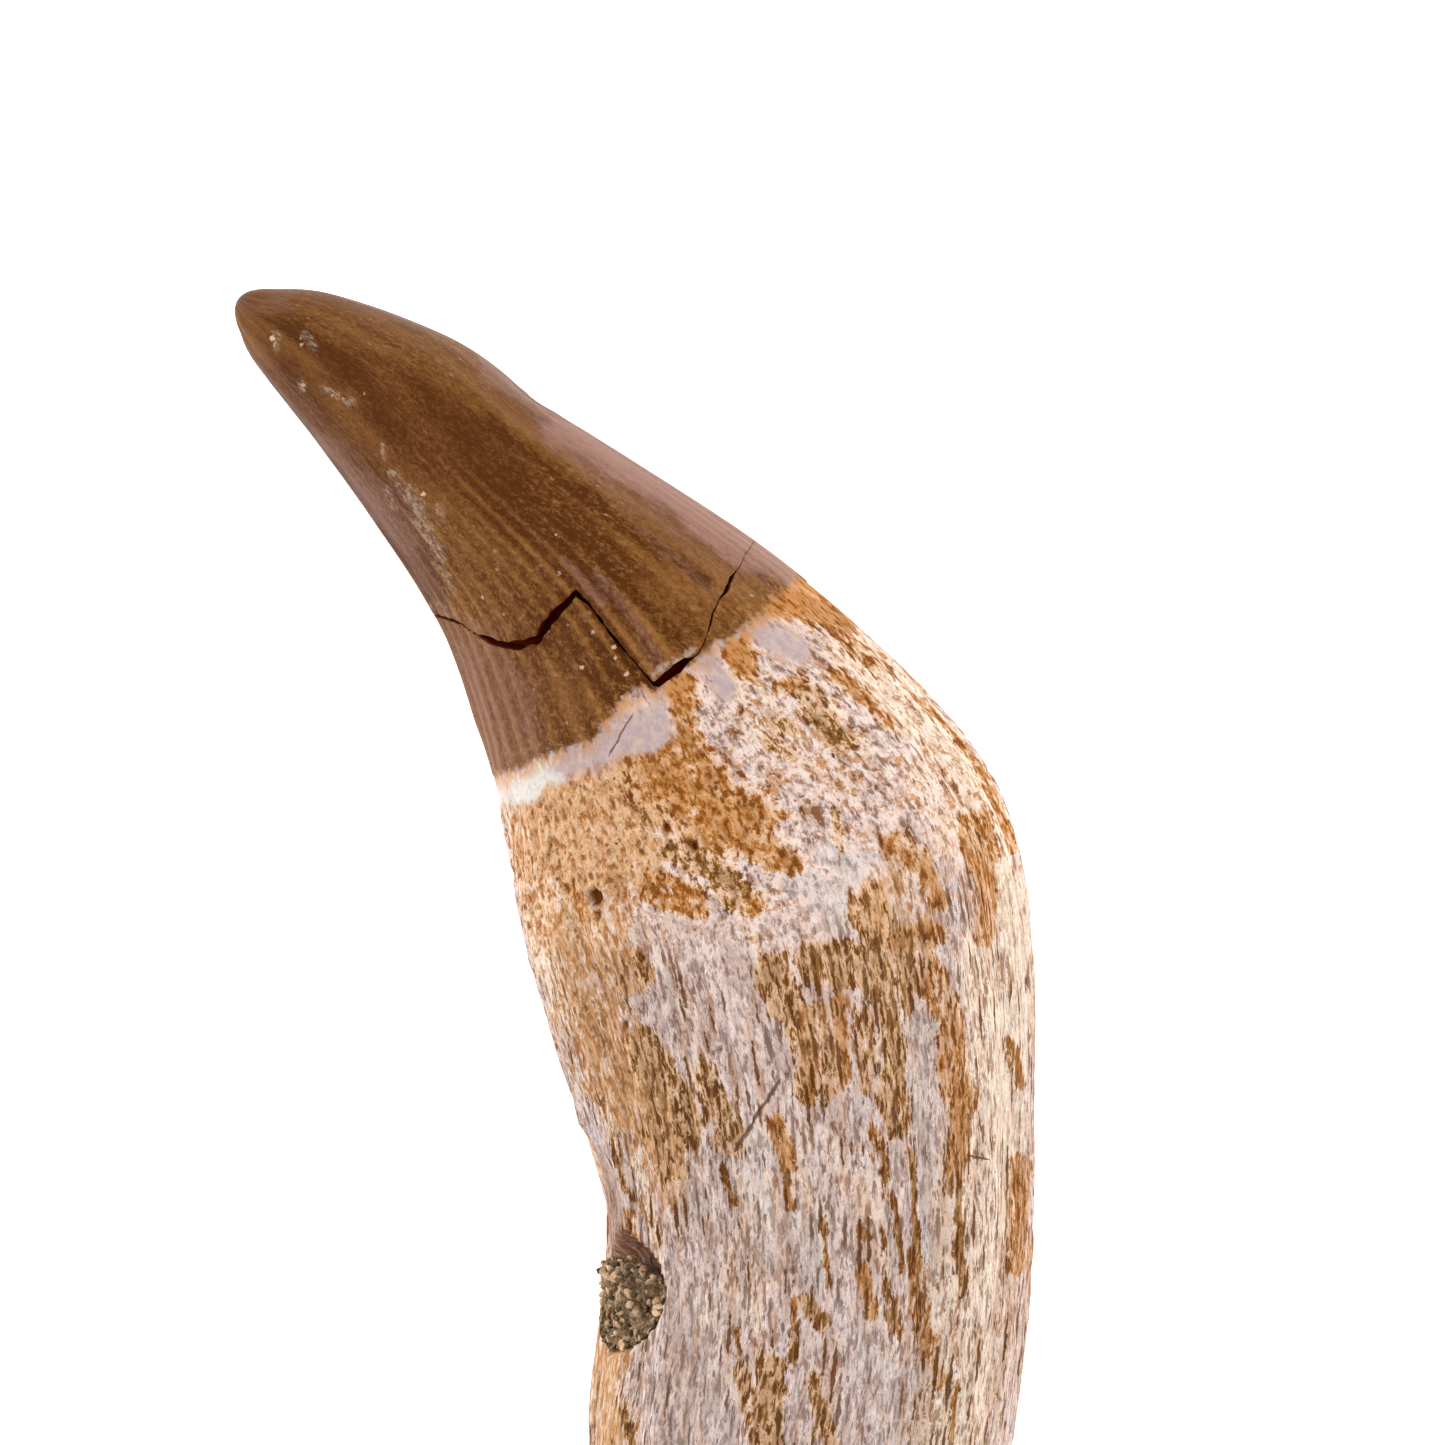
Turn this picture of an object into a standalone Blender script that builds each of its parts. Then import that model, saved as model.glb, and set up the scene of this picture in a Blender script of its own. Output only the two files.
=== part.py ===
"""A fossil marine reptile's tooth: a curved, fluted crown on its long porous root, lying on its side.

The tooth grew as one piece, so crown and root are one solid, with the crack round the crown cut into it.
A pit in the flank of the root holds a plug of hardened sediment, which is the second solid.

Frame: metres. The tooth lies on the plane Z = 0, its root along Y, its crown at +Y and bending to -X.
The origin is under the middle of the tooth's bounding box. The sizes below are in millimetres.
"""

import math
from collections import namedtuple

import bmesh
import bpy
from mathutils import Vector, noise

MM = 0.001

# The outline seen from above, tip to root end: the left and right edge, the thickness and the mid height
Station = namedtuple("Station", "left right thickness middle")
STATIONS = (
    Station((-20.0, 35.2), (-18.1, 37.05), 2.3, 7.6),
    Station((-19.35, 33.8), (-15.3, 37.0), 4.4, 7.7),
    Station((-16.3, 30.1), (-9.2, 34.7), 7.2, 7.9),
    Station((-12.9, 25.6), (-3.75, 30.8), 9.6, 8.0),
    Station((-9.7, 20.6), (3.8, 25.95), 12.2, 8.1),
    Station((-7.8, 15.4), (9.1, 22.1), 14.4, 8.2),
    Station((-6.6, 9.7), (13.9, 17.5), 16.4, 8.2),
    Station((-5.8, 4.7), (18.05, 11.8), 17.8, 8.55),
    Station((-4.4, 0.1), (19.55, 4.8), 18.4, 8.85),
    Station((-2.6, -5.9), (19.7, -3.6), 18.2, 8.75),
    Station((-1.85, -12.6), (19.4, -12.1), 17.8, 8.55),
    Station((-2.5, -20.5), (18.5, -20.5), 17.0, 8.15),
    Station((-1.8, -28.8), (16.2, -29.3), 15.2, 7.6),
    Station((-0.6, -34.4), (14.0, -35.0), 12.8, 7.0),
)
CROWN_BASE = 5.0
ROOT_END = len(STATIONS) - 1.0

# The middle of the outline, which is brought to the origin
MIDDLE = Vector((-0.1, 0.1, 0.0))

# The mesh: columns round the tooth, and rings along the crown and along the root
COLUMNS = 96
CROWN_RINGS = 11
ROOT_RINGS = 14
LEDGE_RINGS = 0.035

# The crown's relief
FLUTES = 48
FLUTE_DEPTH = 0.12
LEDGE_HEIGHT = 0.13
Ridge = namedtuple("Ridge", "angle height spread")
CROWN_RIDGES = (
    Ridge(5.0, 0.24, 6.0),
    Ridge(53.0, 0.26, 5.0),
    Ridge(88.0, 0.24, 5.0),
    Ridge(176.0, 0.22, 6.0),
    Ridge(236.0, 0.2, 6.0),
    Ridge(301.0, 0.24, 6.0),
)
CHIP_PLACE, CHIP_REACH, CHIP_DEPTH = 2.75, 0.3, 0.3

# The rounded tip: share of its height, share of the radius
TIP_HEIGHT = 0.85
TIP_PROFILE = ((0.9, 0.37), (0.68, 0.65), (0.36, 0.86))

# The root's relief, and the flat on which it rests
FURROWS = ((7, 0.22, 0.6), (13, 0.15, 2.1), (23, 0.11, 4.0))
FLANK_RIDGE = Ridge(143.0, 0.35, 7.0)
REST_HEIGHT = 0.0

# The broken end of the root, from its rim to the middle of the pulp hollow: share of the radius, drop
END_PROFILE = ((0.96, 1.0), (0.87, 1.8), (0.72, 1.9), (0.52, 0.6), (0.34, -1.6), (0.16, -3.1))
END_HOLLOW_BOTTOM = -3.6
END_ROUGHNESS = 0.5

# The crack, seen from above, from the left edge to the right one, and its depth and width
CRACK_ABOVE = (
    (-10.0, 21.0), (-8.2, 20.1), (-7.2, 19.7), (-5.3, 19.5), (-4.95, 19.6), (-4.6, 20.3), (-3.1, 22.0),
    (-2.6, 21.6), (-0.1, 18.8), (1.0, 17.3), (1.4, 18.0), (3.3, 19.5), (3.75, 21.2), (4.7, 23.0), (5.8, 24.6),
)
CRACK_BELOW = ((-30, 3.85), (-55, 4.15), (-80, 4.0), (-105, 4.3), (-130, 3.95), (-155, 4.1))
CRACK_WIDTH = 0.34
CRACK_DEPTH = 0.7

# The pit in the left flank, the channel that runs into it, and the sediment in the pit: each is an oval ball
# bent to the flank. Its middle is (place, angle), and its radii run out of, round and along the tooth.
FlankBall = namedtuple("FlankBall", "place angle radii")
PIT = FlankBall(9.95, 160.0, (3.2, 4.2, 3.1))
CHANNEL = FlankBall(9.45, 171.0, (0.95, 4.2, 5.2))
SEDIMENT_GAP = 0.35
SEDIMENT_DOME = 0.12
SEDIMENT_SINK = 0.1
SEDIMENT_LUMPS = 0.5
FLANK_RADIUS = 9.2
FLANK_STATION = 7.2

ENAMEL, BONE, SEDIMENT = "enamel", "bone", "sediment"
COLOURS = {
    ENAMEL: ((0.15, 0.072, 0.032, 1.0), 0.32),
    BONE: ((0.6, 0.44, 0.33, 1.0), 0.85),
    SEDIMENT: ((0.15, 0.1, 0.05, 1.0), 0.95),
}

Section = namedtuple("Section", "centre across half_width half_thickness middle")


def clear_scene():
    for obj in list(bpy.data.objects):
        bpy.data.objects.remove(obj)


def make_collection(name, hidden=False):
    collection = bpy.data.collections.new(name)
    bpy.context.scene.collection.children.link(collection)
    collection.hide_render = hidden
    return collection


def make_material(name):
    colour, roughness = COLOURS[name]
    material = bpy.data.materials.new(name)
    material.use_nodes = True
    shader = material.node_tree.nodes["Principled BSDF"]
    shader.inputs["Base Color"].default_value = colour
    shader.inputs["Roughness"].default_value = roughness
    shader.inputs["Metallic"].default_value = 0.0
    return material


def smooth_step(low, high, value):
    share = min(1.0, max(0.0, (value - low) / (high - low)))
    return share * share * (3.0 - 2.0 * share)


def bell(distance, reach):
    return math.exp(-((distance / reach) ** 2))


def angle_between(a, b):
    """The difference of two angles in degrees, from -180 to 180."""
    return (a - b + 180.0) % 360.0 - 180.0


def along_stations(place, read):
    """A Catmull-Rom curve through what read() gives for each station."""
    last = len(STATIONS) - 1
    first = min(max(int(math.floor(place)), 0), last - 1)
    share = place - first
    points = [read(STATIONS[min(max(first + step, 0), last)]) for step in (-1, 0, 1, 2)]
    a, b, c, d = points
    return 0.5 * (
        2.0 * b
        + (c - a) * share
        + (2.0 * a - 5.0 * b + 4.0 * c - d) * share**2
        + (3.0 * b - a - 3.0 * c + d) * share**3
    )


def section_at(place):
    """The oval across the tooth at a place along it, counted in stations from the tip."""
    left = along_stations(place, lambda station: Vector(station.left))
    right = along_stations(place, lambda station: Vector(station.right))
    return Section(
        centre=(left + right) / 2.0,
        across=(right - left).normalized(),
        half_width=(right - left).length / 2.0,
        half_thickness=along_stations(place, lambda station: station.thickness) / 2.0,
        middle=along_stations(place, lambda station: station.middle),
    )


def towards_root(section):
    return Vector((section.across.y, -section.across.x))


def base_shift(angle):
    """How far the crown's edge lies rootward of CROWN_BASE, in stations, at an angle round the tooth."""
    turn = math.radians(angle)
    return 0.1 - 0.25 * math.cos(turn) + 0.1 * math.sin(turn)


def crown_relief(place, angle):
    """Flutes, facet ridges and carinae, which fade out towards the tip, and the chip in the right carina."""
    edge = CROWN_BASE + base_shift(angle)
    on_crown = smooth_step(edge + 2.0 * LEDGE_RINGS, edge - 0.5 * LEDGE_RINGS, place)
    strength = smooth_step(0.8, 4.0, place)
    height = FLUTE_DEPTH * strength * math.cos(math.radians(FLUTES * angle))
    for ridge in CROWN_RIDGES:
        height += ridge.height * strength * bell(angle_between(angle, ridge.angle), ridge.spread)
    chip = bell(place - CHIP_PLACE, CHIP_REACH) * bell(angle_between(angle, 4.0), 16.0)
    return on_crown * (height + LEDGE_HEIGHT - CHIP_DEPTH * chip)


def root_relief(place, angle):
    """Long shallow furrows that follow the fibres of the bone."""
    edge = CROWN_BASE + base_shift(angle)
    strength = smooth_step(edge, edge + 1.6, place)
    furrows = sum(
        depth * math.cos(math.radians(count * angle) + phase + 0.35 * math.sin(place * 1.3 + phase))
        for count, depth, phase in FURROWS
    )
    flank = FLANK_RIDGE.height * smooth_step(10.1, 10.9, place)
    return strength * furrows + flank * bell(angle_between(angle, FLANK_RIDGE.angle), FLANK_RIDGE.spread)


def surface_point(place, angle, outward=0.0, share=1.0):
    """A point on the tooth. outward lifts it off the surface, and share draws it in to the axis."""
    section = section_at(place)
    turn = math.radians(angle)
    out = Vector((math.cos(turn) / section.half_width, math.sin(turn) / section.half_thickness)).normalized()
    sideways = section.half_width * math.cos(turn) + out.x * outward
    upward = section.half_thickness * math.sin(turn) + out.y * outward
    flat = section.centre + section.across * sideways * share
    return Vector((flat.x, flat.y, section.middle + upward * share))


def place_from_above(point):
    """(place, angle) of the point of the upper surface that lies over a point of the outline."""
    flat = Vector(point)
    low, high = 0.0, ROOT_END
    for _ in range(40):
        place = (low + high) / 2.0
        section = section_at(place)
        if (flat - section.centre).dot(towards_root(section)) > 0.0:
            low = place
        else:
            high = place
    section = section_at(place)
    sideways = (flat - section.centre).dot(section.across) / section.half_width
    return place, math.degrees(math.acos(min(1.0, max(-1.0, sideways))))


def ring_places():
    """Places of the rings: even steps on the crown, a close pair at the crown's edge, even steps on the root."""
    crown = [CROWN_BASE * ring / CROWN_RINGS for ring in range(CROWN_RINGS)]
    ledge = [CROWN_BASE - 0.5 * LEDGE_RINGS, CROWN_BASE + 2.0 * LEDGE_RINGS]
    step = (ROOT_END - CROWN_BASE) / ROOT_RINGS
    return crown + ledge + [CROWN_BASE + step * ring for ring in range(1, ROOT_RINGS + 1)]


def tip_rings(mesh):
    """Rings of the rounded tip, from its point to the first station."""
    section = section_at(0.0)
    forward = -towards_root(section)
    rings = []
    for step, share in TIP_PROFILE:
        offset = Vector((forward.x, forward.y, 0.0)) * TIP_HEIGHT * step
        rings.append(
            [mesh.verts.new(surface_point(0.0, column_angle(column), 0.0, share) + offset) for column in range(COLUMNS)]
        )
    point = Vector((*(section.centre + forward * TIP_HEIGHT), section.middle))
    return mesh.verts.new(point), rings


def end_rings(mesh):
    """Rings of the broken root end, from its rim to the middle of the pulp hollow."""
    section = section_at(ROOT_END)
    down = towards_root(section)
    rings = []
    for share, drop in END_PROFILE:
        ring = []
        for column in range(COLUMNS):
            angle = column_angle(column)
            point = surface_point(ROOT_END, angle, root_relief(ROOT_END, angle) * share, share)
            uneven = END_ROUGHNESS * noise.noise(point * 0.45) + 0.3 * END_ROUGHNESS * noise.noise(point * 1.3)
            ring.append(mesh.verts.new(point + Vector((down.x, down.y, 0.0)) * (drop + uneven)))
        rings.append(ring)
    middle = Vector((*(section.centre + down * END_HOLLOW_BOTTOM), section.middle))
    return rings, mesh.verts.new(middle)


def column_angle(column):
    return 360.0 * column / COLUMNS


def tooth_ring(mesh, ring_place):
    ring = []
    for column in range(COLUMNS):
        angle = column_angle(column)
        follow_edge = bell(ring_place - CROWN_BASE, 1.3)
        place = ring_place + base_shift(angle) * follow_edge
        relief = crown_relief(place, angle) + root_relief(place, angle)
        ring.append(mesh.verts.new(surface_point(place, angle, relief)))
    return ring


def bridge(mesh, ring, following, material_index):
    for column in range(COLUMNS):
        beside = (column + 1) % COLUMNS
        face = mesh.faces.new((ring[column], ring[beside], following[beside], following[column]))
        face.material_index = material_index
        face.smooth = True


def close_with(mesh, ring, point, material_index):
    for column in range(COLUMNS):
        face = mesh.faces.new((ring[column], ring[(column + 1) % COLUMNS], point))
        face.material_index = material_index
        face.smooth = True


def object_from(mesh, name, collection, materials=()):
    """Turns a bmesh in millimetres into an object in metres."""
    bmesh.ops.recalc_face_normals(mesh, faces=mesh.faces)
    bmesh.ops.translate(mesh, vec=-MIDDLE, verts=mesh.verts)
    bmesh.ops.scale(mesh, vec=Vector((MM, MM, MM)), verts=mesh.verts)
    data = bpy.data.meshes.new(name)
    mesh.to_mesh(data)
    mesh.free()
    for material in materials:
        data.materials.append(material)
    obj = bpy.data.objects.new(name, data)
    collection.objects.link(obj)
    return obj


def make_tooth(collection):
    """The loft from the tip to the broken root end, worn flat where it rests."""
    mesh = bmesh.new()
    tip, rings = tip_rings(mesh)
    rings += [tooth_ring(mesh, place) for place in ring_places()]
    enamel_rings = len(rings) - ROOT_RINGS - 1
    broken, middle = end_rings(mesh)
    rings += broken
    close_with(mesh, rings[0], tip, 0)
    for number, (ring, following) in enumerate(zip(rings, rings[1:])):
        bridge(mesh, ring, following, 0 if number < enamel_rings else 1)
    close_with(mesh, rings[-1], middle, 1)
    for vertex in mesh.verts:
        vertex.co.z = max(vertex.co.z, REST_HEIGHT)
    return object_from(mesh, "tooth", collection, [make_material(ENAMEL), make_material(BONE)])


def make_crack_cutter(collection):
    """A jagged band that stands across the surface all round the crown, thickened to the crack's width."""
    path = [place_from_above(point) for point in reversed(CRACK_ABOVE)]
    path += [(place, 360.0 + angle) for angle, place in reversed(CRACK_BELOW)]
    mesh = bmesh.new()
    inner = [mesh.verts.new(surface_point(place, angle, -CRACK_DEPTH)) for place, angle in path]
    outer = [mesh.verts.new(surface_point(place, angle, CRACK_DEPTH)) for place, angle in path]
    for number in range(len(path)):
        beside = (number + 1) % len(path)
        mesh.faces.new((inner[number], inner[beside], outer[beside], outer[number]))
    cutter = object_from(mesh, "crack_cutter", collection)
    thicken = cutter.modifiers.new("width", "SOLIDIFY")
    thicken.thickness = CRACK_WIDTH * MM
    thicken.offset = 0.0
    return cutter


def flank_point(ball, out, around, along):
    """The point at these distances from the middle of a flank ball, in millimetres, off and over the surface."""
    place = ball.place + along / FLANK_STATION
    angle = ball.angle + math.degrees(around / FLANK_RADIUS)
    return surface_point(place, angle, out)


def make_flank_cutter(name, collection, ball):
    """An oval ball bent to the flank, half inside the tooth."""
    mesh = bmesh.new()
    bmesh.ops.create_uvsphere(mesh, u_segments=32, v_segments=18, radius=1.0)
    for vertex in mesh.verts:
        vertex.co = flank_point(ball, *(share * radius for share, radius in zip(vertex.co, ball.radii)))
    return object_from(mesh, name, collection)


def make_sediment(collection):
    """The lumpy plug: the pit's own form less a gap, and its outer half pressed down to a low, sunken dome."""
    mesh = bmesh.new()
    bmesh.ops.create_uvsphere(mesh, u_segments=24, v_segments=15, radius=1.0)
    for vertex in mesh.verts:
        spot = vertex.co.copy()
        out, around, along = (share * (radius - SEDIMENT_GAP) for share, radius in zip(spot, PIT.radii))
        outer = smooth_step(-0.15, 0.3, spot.x)
        if out > 0.0:
            out *= SEDIMENT_DOME
        out += outer * (SEDIMENT_LUMPS * noise.noise(spot * 3.1) - SEDIMENT_SINK)
        vertex.co = flank_point(PIT, out, around, along)
    for face in mesh.faces:
        face.smooth = True
    return object_from(mesh, "sediment_in_pit", collection, [make_material(SEDIMENT)])


def cut(target, cutter):
    cutter.display_type = "WIRE"
    cutter.hide_render = True
    modifier = target.modifiers.new(cutter.name, "BOOLEAN")
    modifier.operation = "DIFFERENCE"
    modifier.solver = "EXACT"
    modifier.object = cutter


def main():
    clear_scene()
    parts = make_collection("fossil_tooth")
    cutters = make_collection("cutters", hidden=True)
    tooth = make_tooth(parts)
    cut(tooth, make_crack_cutter(cutters))
    cut(tooth, make_flank_cutter("pit_cutter", cutters, PIT))
    cut(tooth, make_flank_cutter("channel_cutter", cutters, CHANNEL))
    make_sediment(parts)


main()
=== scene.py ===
"""The looks of a fossil marine reptile's tooth: fluted brown enamel on a long, stained, fibrous root.

The tooth is one fine mesh, lofted from the same cross sections as the solid that it stands for, with its
flutes, fibres, pores, crack and pit as real relief. Attributes on that mesh tell the material where the
enamel ends and where stains, scuffs and pores lie. Lengths are in millimetres until a mesh is made.
"""

import itertools
import math
from collections import namedtuple

import bmesh
import bpy
import numpy as np
from bpy.props import FloatProperty, FloatVectorProperty, IntProperty, PointerProperty
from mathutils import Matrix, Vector


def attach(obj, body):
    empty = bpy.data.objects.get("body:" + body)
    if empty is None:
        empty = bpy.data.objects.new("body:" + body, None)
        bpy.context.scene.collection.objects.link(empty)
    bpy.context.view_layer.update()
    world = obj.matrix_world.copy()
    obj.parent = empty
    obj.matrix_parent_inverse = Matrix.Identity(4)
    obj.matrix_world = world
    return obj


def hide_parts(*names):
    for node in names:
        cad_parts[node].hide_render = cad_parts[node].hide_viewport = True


bl_info = {
    "name": "Fossil Tooth",
    "version": (1, 0, 0),
    "blender": (4, 5, 0),
    "location": "3D View > Sidebar > Fossil Tooth",
    "description": "Builds the finished surface of a fossil tooth round its packed solids",
    "category": "Object",
}

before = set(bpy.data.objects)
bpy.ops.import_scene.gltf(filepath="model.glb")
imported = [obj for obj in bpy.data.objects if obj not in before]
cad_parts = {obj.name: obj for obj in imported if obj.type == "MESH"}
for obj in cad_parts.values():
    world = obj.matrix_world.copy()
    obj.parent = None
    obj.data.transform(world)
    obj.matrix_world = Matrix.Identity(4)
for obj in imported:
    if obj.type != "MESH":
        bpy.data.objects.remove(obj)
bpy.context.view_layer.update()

MM = 0.001
BODY = "root"
TOOTH_NODE, SEDIMENT_NODE = "tooth", "sediment_in_pit"

# The outline seen from above, tip to root end: the left and right edge, the thickness and the mid height
Station = namedtuple("Station", "left right thickness middle")
STATIONS = (
    Station((-19.96, 35.3), (-18.58, 37.32), 2.4, 7.6),
    Station((-19.2, 33.8), (-15.3, 37.05), 4.4, 7.7),
    Station((-16.3, 30.1), (-9.2, 34.7), 7.2, 7.9),
    Station((-12.9, 25.6), (-3.75, 30.8), 9.6, 8.0),
    Station((-9.7, 20.6), (3.8, 25.95), 12.2, 8.1),
    Station((-7.8, 15.4), (9.1, 22.1), 14.4, 8.2),
    Station((-6.6, 9.7), (13.9, 17.5), 16.4, 8.2),
    Station((-5.8, 4.7), (18.05, 11.8), 17.8, 8.55),
    Station((-4.4, 0.1), (19.55, 4.8), 18.4, 8.85),
    Station((-2.6, -5.9), (19.7, -3.6), 18.2, 8.75),
    Station((-1.85, -12.6), (19.4, -12.1), 17.8, 8.55),
    Station((-2.5, -20.5), (18.5, -20.5), 17.0, 8.15),
    Station((-1.8, -28.8), (16.2, -29.3), 15.2, 7.6),
    Station((-0.6, -34.4), (14.0, -35.0), 12.8, 7.0),
)
STATION_ROWS = np.array([(*s.left, *s.right, s.thickness, s.middle) for s in STATIONS])
CROWN_BASE = 5.0
ROOT_END = len(STATIONS) - 1.0
MIDDLE = np.array((-0.1, 0.1, 0.0))

# The mesh: columns round the tooth, closest on the upper side, and rings along it
UPPER_COLUMNS, LOWER_COLUMNS = 192, 88
RINGS = 300
EDGE_RINGS = (-0.03, -0.012, 0.0, 0.012, 0.03)
TIP_RINGS, END_RINGS = 8, 22

# The rounded tip and the broken end of the root: share of the height or the drop, and share of the radius
TIP_HEIGHT = 1.0
TIP_PROFILE = ((0.0, 1.0), (0.25, 0.88), (0.45, 0.76), (0.72, 0.56), (0.88, 0.38), (0.97, 0.17), (1.0, 0.0))
END_PROFILE = (
    (1.0, 0.0), (0.96, 1.0), (0.87, 1.8), (0.72, 1.9), (0.52, 0.6), (0.34, -1.6), (0.16, -3.1), (0.0, -3.6),
)
END_ROUGHNESS = 0.5
# Their lengths on the laid out surface
TIP_LENGTH, END_LENGTH = 2.4, 9.0

# The edge of the enamel, seen from above, from the right side to the left one
ENAMEL_EDGE = (
    (8.6, 22.6), (7.9, 23.0), (7.0, 22.2), (6.1, 21.4), (5.5, 20.7), (4.9, 20.2), (4.3, 19.7), (3.8, 19.8),
    (3.4, 19.2), (2.7, 18.8), (0.9, 17.2), (0.3, 17.5), (-0.3, 17.2), (-0.9, 16.8), (-1.4, 16.0),
    (-1.8, 15.5), (-2.2, 14.9), (-3.0, 14.6), (-4.5, 14.1), (-6.2, 13.4), (-7.0, 13.1), (-7.4, 12.8),
)

# The crown's facet ridges and its two carinae
Ridge = namedtuple("Ridge", "angle height spread")
CROWN_RIDGES = (
    Ridge(5.0, 0.14, 6.0),
    Ridge(53.0, 0.26, 5.0),
    Ridge(88.0, 0.24, 5.0),
    Ridge(176.0, 0.22, 6.0),
    Ridge(236.0, 0.2, 6.0),
    Ridge(301.0, 0.24, 6.0),
)
CHIP_PLACE, CHIP_REACH, CHIP_DEPTH = 2.75, 0.22, 0.2

# The root's furrows and the ridge along its flank
FURROWS = ((7, 0.22, 0.6), (13, 0.15, 2.1), (23, 0.11, 4.0))
FLANK_RIDGE = Ridge(143.0, 0.35, 7.0)

# The crack, seen from above, from the left edge to the right one: x, y and its width there
CRACK_ABOVE = (
    (-10.2, 21.1, 0.1), (-9.6, 20.8, 0.18), (-9.1, 20.6, 0.22), (-8.6, 20.4, 0.22), (-8.3, 20.1, 0.1),
    (-8.0, 19.9, 0.14), (-7.7, 19.8, 0.28), (-7.3, 19.6, 0.34), (-6.5, 19.4, 0.4), (-5.8, 19.4, 0.4),
    (-5.2, 19.6, 0.3), (-4.9, 19.6, 0.42), (-4.7, 20.1, 0.4), (-4.3, 20.6, 0.4), (-3.8, 21.2, 0.38),
    (-3.3, 21.7, 0.34), (-3.0, 22.0, 0.26), (-2.7, 21.7, 0.24), (-2.4, 21.5, 0.12), (-2.1, 21.1, 0.04),
    (-1.8, 20.7, 0.14), (-1.6, 20.4, 0.06), (-1.3, 20.0, 0.14), (-0.9, 19.5, 0.13), (-0.3, 18.8, 0.06),
    (0.3, 18.1, 0.05), (0.8, 17.5, 0.08), (1.0, 17.4, 0.34), (1.5, 17.8, 0.36), (2.1, 18.2, 0.42),
    (2.5, 18.6, 0.38), (2.8, 18.7, 0.06), (3.1, 18.9, 0.05), (3.4, 19.4, 0.04), (3.6, 20.1, 0.06),
    (3.8, 21.0, 0.1), (4.1, 21.7, 0.04), (4.4, 22.1, 0.2), (4.7, 22.7, 0.14), (5.0, 23.1, 0.05),
    (5.4, 23.9, 0.04), (5.9, 24.8, 0.04),
)
# Its angles and places round the underside
CRACK_BELOW = ((-30, 3.85), (-55, 4.15), (-80, 4.0), (-105, 4.3), (-130, 3.95), (-155, 4.1))
CRACK_BELOW_WIDTH = 0.16
CRACK_DEPTH, CRACK_ABOVE_SKIN = 1.0, 0.6
CRACK_MOUTH, CRACK_FLOOR = 1.3, 0.9
CRACK_SPACING, CRACK_WANDER = 0.2, 0.05
CRACK_STEP_DOWN = 0.14

# The pit in the left flank, the channel that runs into it, and the sediment in the pit with its grains
FlankBall = namedtuple("FlankBall", "place angle radii")
PIT = FlankBall(9.95, 160.0, (3.2, 4.2, 3.1))
CHANNEL = FlankBall(9.45, 171.0, (0.95, 4.2, 5.2))
FLANK_RADIUS, FLANK_STATION = 9.2, 7.2
SEDIMENT_COLUMNS, SEDIMENT_ROWS = 72, 44
PIT_AREA = 45.0 * MM * MM
SEDIMENT_GAP, SEDIMENT_DOME, SEDIMENT_SINK, SEDIMENT_SHORT = 0.1, 0.1, 0.5, 0.42

# Small holes in the root, seen from above
Hole = namedtuple("Hole", "x y radius depth")
HOLES = (
    Hole(-2.1, 6.75, 0.4, 0.55),
    Hole(-1.9, 5.9, 0.2, 0.2),
    Hole(2.95, 9.35, 0.26, 0.45),
    Hole(19.7, 2.55, 0.34, 0.4),
    Hole(-0.6, 0.4, 0.22, 0.25),
    Hole(4.2, -0.9, 0.18, 0.25),
    Hole(12.4, -6.9, 0.2, 0.3),
    Hole(1.55, 10.3, 0.2, 0.3),
    Hole(-0.5, -9.7, 0.5, 0.4),
)

# Hairlines on the upper side: thin dark cracks and scratches
Hairline = namedtuple("Hairline", "start end width")
HAIRLINES = (
    Hairline((4.9, -5.95), (5.9, -4.4), 0.2),
    Hairline((5.8, -4.5), (7.25, -2.3), 0.16),
    Hairline((-1.4, 13.8), (-0.15, 16.0), 0.07),
    Hairline((16.4, -6.1), (17.5, -6.4), 0.08),
    Hairline((-4.6, 14.05), (-2.9, 14.55), 0.06),
)

# Crumbs of matrix that stick to the crown, seen from above: x, y and size
CRUMBS = (
    (-18.1, 34.75, 0.3), (-17.95, 34.4, 0.28), (-16.75, 34.75, 0.14), (-16.7, 34.4, 0.18),
    (-16.55, 32.45, 0.2), (-15.1, 31.9, 0.14), (-14.6, 31.75, 0.12), (-13.55, 31.95, 0.12),
    (-12.6, 29.35, 0.14), (-10.55, 26.95, 0.24), (-10.7, 25.5, 0.22), (-10.2, 24.6, 0.16),
    (-2.15, 20.05, 0.24), (-1.1, 19.3, 0.22), (-1.0, 18.75, 0.16), (-0.45, 17.95, 0.22),
    (-2.7, 18.25, 0.2), (-7.6, 21.8, 0.18), (-3.85, 22.95, 0.2), (2.55, 19.6, 0.12), (-3.4, 20.4, 0.12),
    (-5.1, 17.2, 0.12), (-4.0, 24.9, 0.12), (-1.7, 24.4, 0.14),
)

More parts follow.
